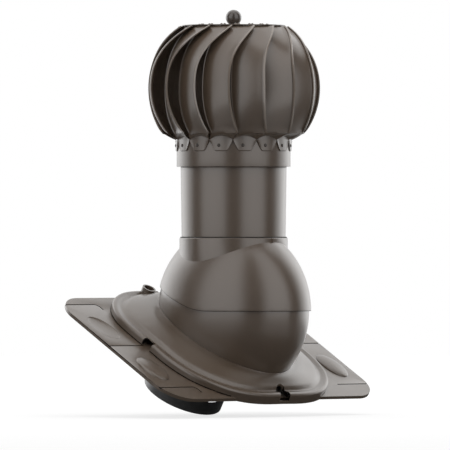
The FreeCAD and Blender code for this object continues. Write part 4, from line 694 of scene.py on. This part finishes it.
class VENT_OT_crown(bpy.types.Operator):
    """Top disc, finial ball and the bearing housing under the disc"""
    bl_idname = "vent.crown"
    bl_label = "Crown"

    def execute(self, context):
        disc = tube(inner=0, outer=78.3, low=433, high=DISC_TOP, rounding=0.35)
        stand_for("top_disc", placed(disc, STACK), "satin paint")
        stand_for("finial", placed(finial_form(), STACK), "ball paint", sharp=40)
        smooth_copy("bearing_housing", "zinc")
        spots = [turn_z(SCREW_TURN + 360 * i / SCREWS) @ at(SCREW_SEAT, 0, DISC_TOP) for i in range(SCREWS)]
        screws = repeated(housing_screw_form(), spots)
        stand_for("housing_screws", placed(screws, STACK), "satin paint")
        return {"FINISHED"}


class VENT_OT_axle(bpy.types.Operator):
    """Fixed axle with its bearings, nuts, washer and spacer, and the arms that carry it"""
    bl_idname = "vent.axle"
    bl_label = "Axle and bearings"

    def execute(self, context):
        smooth_copies(("axle", "axle_spacer", "lower_bearing_inner", "lower_bearing_outer",
                       "upper_bearing_inner", "upper_bearing_outer"), "steel")
        smooth_copies(("axle_nut", "axle_locknut", "axle_washer", "axle_spider", "spider_screws"), "zinc")
        return {"FINISHED"}


class VENT_OT_pipes(bpy.types.Operator):
    """Outer and inner pipe, the foam and the ring between them, and the yoke and pins they tilt on"""
    bl_idname = "vent.pipes"
    bl_label = "Pipes"

    def execute(self, context):
        outer = tube(inner=77.2, outer=78.4, low=52, high=234, rounding=0.3, widening=2.5)
        stand_for("outer_pipe", placed(outer, STACK), "satin paint")
        inner = tube(inner=61.5, outer=62.5, low=-20, high=228.8, rounding=0.3)
        stand_for("inner_pipe", placed(inner, STACK), "zinc")
        smooth_copy("insulation_sleeve", "foam")
        smooth_copy("upper_ring", "dark spigot")
        smooth_copies(("pivot_yoke", "yoke_screws", "pivot_pins"), "zinc")
        return {"FINISHED"}


# Hood

HOOD_HALF_WIDTH = 100
HOOD_RADIUS = 133
HOOD_OUTSIDE = 0.99
EDGE_HIGHEST = 48
EDGE_BEND = 55
EDGE_ROUNDING = 1.2


def round_hood_edge(bm):
    """Rounds the outer corner of the hood's lower edge and darkens it with painted shade, standing in for the
    shadow at the seam.
    """
    rim = []
    for edge in bm.edges:
        middle = ((edge.verts[0].co + edge.verts[1].co) / 2 - PIVOT) / MM
        reach = Vector((middle.x / HOOD_HALF_WIDTH, middle.y / HOOD_RADIUS, middle.z / HOOD_RADIUS)).length
        if bend(edge) > EDGE_BEND and middle.z < EDGE_HIGHEST and reach > HOOD_OUTSIDE:
            rim.append(edge)
    darkened_bevel(bm, rim, EDGE_ROUNDING, segments=3)


class VENT_OT_hood(bpy.types.Operator):
    """Tilting hood and the lower shell that it turns over"""
    bl_idname = "vent.hood"
    bl_label = "Hood and shell"

    def execute(self, context):
        # The hood's lower edge gets painted shade for the shadow of its seam
        smooth_copy("upper_hood", "satin paint", "groove shade", sharp=25, change=round_hood_edge)
        smooth_copy("lower_shell", "satin paint", sharp=25)
        smooth_copies(("shell_gasket", "sleeve_seal"), "black rubber")
        return {"FINISHED"}


# Flashing plate and cowl

PLATE_TOP = 5
GROOVE_FLOOR = 3.4
CLOSE = 0.05
FLAT = 0.99
UPRIGHT = 0.05
BRINK_ROUNDING = 0.55


def mark_grooves(bm):
    """Darkens the floors and walls of the plate's grooves with painted shade and rounds their brinks."""
    for face in bm.faces:
        levels = [(TO_PLATE @ vert.co).z / MM for vert in face.verts]
        rise = abs((TO_PLATE.to_3x3() @ face.normal).z)
        sunk = abs(min(levels) - GROOVE_FLOOR) < CLOSE and max(levels) < PLATE_TOP + CLOSE
        if sunk and (rise > FLAT or rise < UPRIGHT):
            face.material_index = 1
    brink = []
    for edge in bm.edges:
        level = min((TO_PLATE @ vert.co).z / MM for vert in edge.verts)
        looks = {face.material_index for face in edge.link_faces}
        if level > PLATE_TOP - CLOSE and looks == {0, 1}:
            brink.append(edge)
    darkened_bevel(bm, brink, BRINK_ROUNDING, segments=2)


FOOT_LOWEST = 4.9
FOOT_LINE = 6.5
FOOT_FRONT = -178
SKIRT_FACE = 0.01
NOTCH_HALF = 10
NOTCH_CLOSE = 0.1
SILL_MIDDLE = (0, -185.9, 3.3)
SILL_SIZE = (64, 9.4, 2.2)

# Each drain notch's quarter turn, how far out its round end starts, and the middle it is measured from

NOTCHES = ((0, 153.1, -31), (1, 146.1, -35), (2, 153.1, -31), (3, 146.1, -35))


def on_notch_wall(corner, start):
    """Whether a point lies on the wall of a notch that opens along +X and ends round at its start."""
    if corner.x > start:
        return abs(abs(corner.y) - NOTCH_HALF) < NOTCH_CLOSE
    return abs(math.hypot(corner.x - start, corner.y) - NOTCH_HALF) < NOTCH_CLOSE


def shade_notches(bm):
    """Darkens the cowl's foot line and the walls of its notches with painted shade, and closes the front
    notch with a sill in the same painted shade.
    """
    bmesh.ops.bisect_plane(bm, geom=bm.verts[:] + bm.edges[:] + bm.faces[:], dist=WELD * MM,
                           plane_co=PLATE @ Vector((0, 0, FOOT_LINE * MM)),
                           plane_no=PLATE.to_3x3() @ Vector((0, 0, 1)))
    turns = [(turn_z(-90 * quarter) @ Matrix.Translation((0, -middle, 0)), start)
             for quarter, start, middle in NOTCHES]
    for face in bm.faces:
        corners = [TO_PLATE @ vert.co / MM for vert in face.verts]
        # Painted shadow along the cowl's foot, where it meets the plate
        dark = all(FOOT_LOWEST < corner.z < FOOT_LINE + SKIRT_FACE and corner.y > FOOT_FRONT
                   for corner in corners)
        for turned, start in turns:
            dark = dark or all(on_notch_wall(turned @ corner, start) for corner in corners)
        if dark:
            face.material_index = 1
    # The sill is a dark block in painted shade, put where the notch shows only shade
    sill = bmesh.ops.create_cube(bm, size=1, matrix=PLATE @ at(*SILL_MIDDLE) @ sized(*SILL_SIZE))
    for face in {face for vert in sill["verts"] for face in vert.link_faces}:
        face.material_index = 1


class VENT_OT_flashing(bpy.types.Operator):
    """Flashing plate, the cowl on it, the duct spigot below it and their screws"""
    bl_idname = "vent.flashing"
    bl_label = "Plate and cowl"

    def execute(self, context):
        # Grooves, notch walls and the cowl's foot take painted shade as their second look
        smooth_copy("roof_plate", "moulded plate", "groove shade", change=mark_grooves)
        smooth_copy("cowl", "moulded plate", "groove shade", change=shade_notches)
        smooth_copy("duct_spigot", "dark spigot")
        smooth_copies(("cowl_screws", "shell_screws", "spigot_screws"), "zinc")
        return {"FINISHED"}


# Stage, with its floor, cards and lights in metres

WORLD_LEVEL = 0.74
FLOOR_SHADE = 0.3
FLOOR_GLOW = 0.74
FLOOR_RADIUS = 6.0
FLOOR_GAP = 0.0005
CARD_SHADE = 0.02
FLAG_HIGH = 72
FLAG_DISTANCE = 2.2
FLAG_SPREAD = 1.02


def seen_share(tree):
    """1 for what the camera, mirrors and glass see, and 0 for light that is scattered."""
    nodes, links = tree.nodes, tree.links
    path = nodes.new("ShaderNodeLightPath")
    total = path.outputs["Is Camera Ray"]
    for name in ("Is Glossy Ray", "Is Transmission Ray"):
        add = nodes.new("ShaderNodeMath")
        add.operation = "ADD"
        add.use_clamp = True
        links.new(total, add.inputs[0])
        links.new(path.outputs[name], add.inputs[1])
        total = add.outputs[0]
    return total


def make_world():
    """An even studio that lights the object softly and looks white."""
    world = bpy.data.worlds.new("studio")
    bpy.context.scene.world = world
    world.use_nodes = True
    tree = world.node_tree
    plain = tree.nodes["Background"]
    white = tree.nodes.new("ShaderNodeBackground")
    for background, strength in ((plain, WORLD_LEVEL), (white, 1.0)):
        background.inputs["Color"].default_value = (1, 1, 1, 1)
        background.inputs["Strength"].default_value = strength
    mix = tree.nodes.new("ShaderNodeMixShader")
    tree.links.new(seen_share(tree), mix.inputs["Fac"])
    tree.links.new(plain.outputs[0], mix.inputs[1])
    tree.links.new(white.outputs[0], mix.inputs[2])
    tree.links.new(mix.outputs[0], tree.nodes["World Output"].inputs["Surface"])


def plain_material(name, shade, roughness):
    """A grey material without grain."""
    material = bpy.data.materials.new(name)
    material.use_nodes = True
    shader = material.node_tree.nodes["Principled BSDF"]
    shader.inputs["Base Color"].default_value = (shade, shade, shade, 1)
    shader.inputs["Roughness"].default_value = roughness
    return material


def make_floor():
    """A pale floor that shows the object's shadow and otherwise looks white."""
    bm = bmesh.new()
    bmesh.ops.create_circle(bm, cap_ends=True, segments=96, radius=FLOOR_RADIUS,
                            matrix=Matrix.Translation((0, 0, CAD_BOX[0].z - FLOOR_GAP)))
    floor = linked("floor", as_mesh("floor", bm))
    material = plain_material("pale floor", FLOOR_SHADE, 0.9)
    tree = material.node_tree
    strength = tree.nodes.new("ShaderNodeMath")
    strength.operation = "MULTIPLY"
    strength.inputs[1].default_value = FLOOR_GLOW
    tree.links.new(seen_share(tree), strength.inputs[0])
    white = tree.nodes.new("ShaderNodeEmission")
    tree.links.new(strength.outputs[0], white.inputs["Strength"])
    total = tree.nodes.new("ShaderNodeAddShader")
    tree.links.new(tree.nodes["Principled BSDF"].outputs[0], total.inputs[0])
    tree.links.new(white.outputs[0], total.inputs[1])
    tree.links.new(total.outputs[0], tree.nodes["Material Output"].inputs["Surface"])
    floor.data.materials.append(material)


def soft_light(name, azimuth, up, distance, width, height, power, mirrored=True):
    """An area light round the object, aimed at its middle."""
    data = bpy.data.lights.new(name, "AREA")
    data.shape = "RECTANGLE"
    data.size = width
    data.size_y = height
    data.energy = power
    lamp = linked(name, data)
    centre = (CAD_BOX[0] + CAD_BOX[1]) / 2
    turn = math.radians(azimuth)
    lamp.location = centre + Vector((math.sin(turn) * distance, -math.cos(turn) * distance, up))
    lamp.rotation_euler = (centre - lamp.location).to_track_quat("-Z", "Y").to_euler()
    lamp.visible_glossy = mirrored


def dark_flag(name, azimuth, half_width):
    """A dark flag that only reflections see: it runs out over the floor and up round the stage."""
    bm = bmesh.new()
    bmesh.ops.create_grid(bm, x_segments=8, y_segments=32, size=1.0)
    centre = (CAD_BOX[0] + CAD_BOX[1]) / 2
    low = math.asin((CAD_BOX[0].z - centre.z) / FLAG_DISTANCE)
    for vert in bm.verts:
        turn = math.radians(azimuth + half_width * vert.co.x)
        rise = low + (math.radians(FLAG_HIGH) - low) * max(0.0, vert.co.y)
        out = FLAG_DISTANCE * math.cos(rise) * (FLAG_SPREAD + min(0.0, vert.co.y))
        up = FLAG_DISTANCE * math.sin(rise)
        vert.co = centre + Vector((math.sin(turn) * out, -math.cos(turn) * out, up))
    reflected_only(name, bm, CARD_SHADE)


def dark_table(name, inner, outer, shade):
    """A dark ring just above the floor that only reflections see."""
    bm = bmesh.new()
    bmesh.ops.create_circle(bm, cap_ends=False, segments=96, radius=inner)
    made = bmesh.ops.extrude_edge_only(bm, edges=bm.edges[:])["geom"]
    bmesh.ops.scale(bm, vec=(outer / inner, outer / inner, 1),
                    verts=[item for item in made if isinstance(item, bmesh.types.BMVert)])
    placed(bm, Matrix.Translation((0, 0, CAD_BOX[0].z)))
    reflected_only(name, bm, shade)


def reflected_only(name, bm, shade):
    """A card that neither the camera nor scattered light sees."""
    card = linked(name, as_mesh(name, bm))
    card.data.materials.append(plain_material(name, shade, 1.0))
    card.visible_camera = False
    card.visible_diffuse = False
    card.visible_shadow = False
    card.visible_transmission = False


# Camera, with its aim in millimetres and its nearest and farthest view in metres

AIM_HEIGHT = 174.8
AIM_LEFT = 13.1
NEAREST = 0.1
FARTHEST = 100


def make_camera(scene):
    """The camera, level with the object and square to the azimuth."""
    settings = scene.vent_stage
    data = bpy.data.cameras.new("camera")
    data.lens = settings.lens
    data.clip_start = NEAREST
    data.clip_end = FARTHEST
    camera = linked("camera", data)
    distance = settings.frame_width * settings.lens / data.sensor_width
    right = Vector((math.cos(settings.azimuth), math.sin(settings.azimuth), 0))
    away = Vector((math.sin(settings.azimuth), -math.cos(settings.azimuth), 0))
    aim = Vector((PIVOT.x, PIVOT.y, AIM_HEIGHT * MM)) - right * AIM_LEFT * MM
    camera.location = aim + away * distance
    camera.rotation_euler = (math.pi / 2, 0, settings.azimuth)
    scene.camera = camera


class VENT_OT_stage(bpy.types.Operator):
    """Pale floor, soft lights, dark cards and the camera"""
    bl_idname = "vent.stage"
    bl_label = "Stage"

    def execute(self, context):
        context.scene.view_settings.view_transform = "Standard"
        make_world()
        make_floor()
        soft_light("rear_left_box", azimuth=180, up=0.3, distance=1.9, width=1.1, height=2.2, power=5)
        soft_light("rear_right_box", azimuth=90, up=0.3, distance=1.9, width=1.1, height=2.2, power=5)
        soft_light("top_box", azimuth=-45, up=1.9, distance=0.3, width=1.3, height=1.3, power=13,
                   mirrored=False)
        dark_flag("front_flag", azimuth=-45, half_width=17)
        dark_flag("left_flag", azimuth=-133, half_width=14)
        dark_flag("right_flag", azimuth=42, half_width=16)
        dark_table("near_table", inner=0.002, outer=0.4, shade=CARD_SHADE)
        dark_table("far_table", inner=0.4, outer=1.2, shade=0.3)
        make_camera(context.scene)
        return {"FINISHED"}


class VENT_PT_panel(bpy.types.Panel):
    """Buttons for every group of pieces"""
    bl_idname = "VENT_PT_panel"
    bl_label = "Roof turbine ventilator"
    bl_space_type = "VIEW_3D"
    bl_region_type = "UI"
    bl_category = "Ventilator"

    def draw(self, context):
        layout = self.layout
        for group in (context.scene.vent_rotor, context.scene.vent_colours, context.scene.vent_stage):
            for name in group.__annotations__:
                layout.prop(group, name)
        for operator in OPERATORS:
            layout.operator(operator.bl_idname)


SETTINGS = (("vent_rotor", VentRotorSizes), ("vent_colours", VentColours), ("vent_stage", VentStage))
OPERATORS = (VENT_OT_blades, VENT_OT_rivets, VENT_OT_collar, VENT_OT_crown, VENT_OT_axle, VENT_OT_pipes,
             VENT_OT_hood, VENT_OT_flashing, VENT_OT_stage)


def register():
    for name, group in SETTINGS:
        bpy.utils.register_class(group)
        setattr(bpy.types.Scene, name, PointerProperty(type=group))
    for item in OPERATORS + (VENT_PT_panel,):
        bpy.utils.register_class(item)


def unregister():
    for item in reversed(OPERATORS + (VENT_PT_panel,)):
        bpy.utils.unregister_class(item)
    for name, group in reversed(SETTINGS):
        delattr(bpy.types.Scene, name)
        bpy.utils.unregister_class(group)


def main():
    register()
    for operator in OPERATORS:
        group, name = operator.bl_idname.split(".")
        getattr(getattr(bpy.ops, group), name)()


if __name__ == "__main__":
    main()
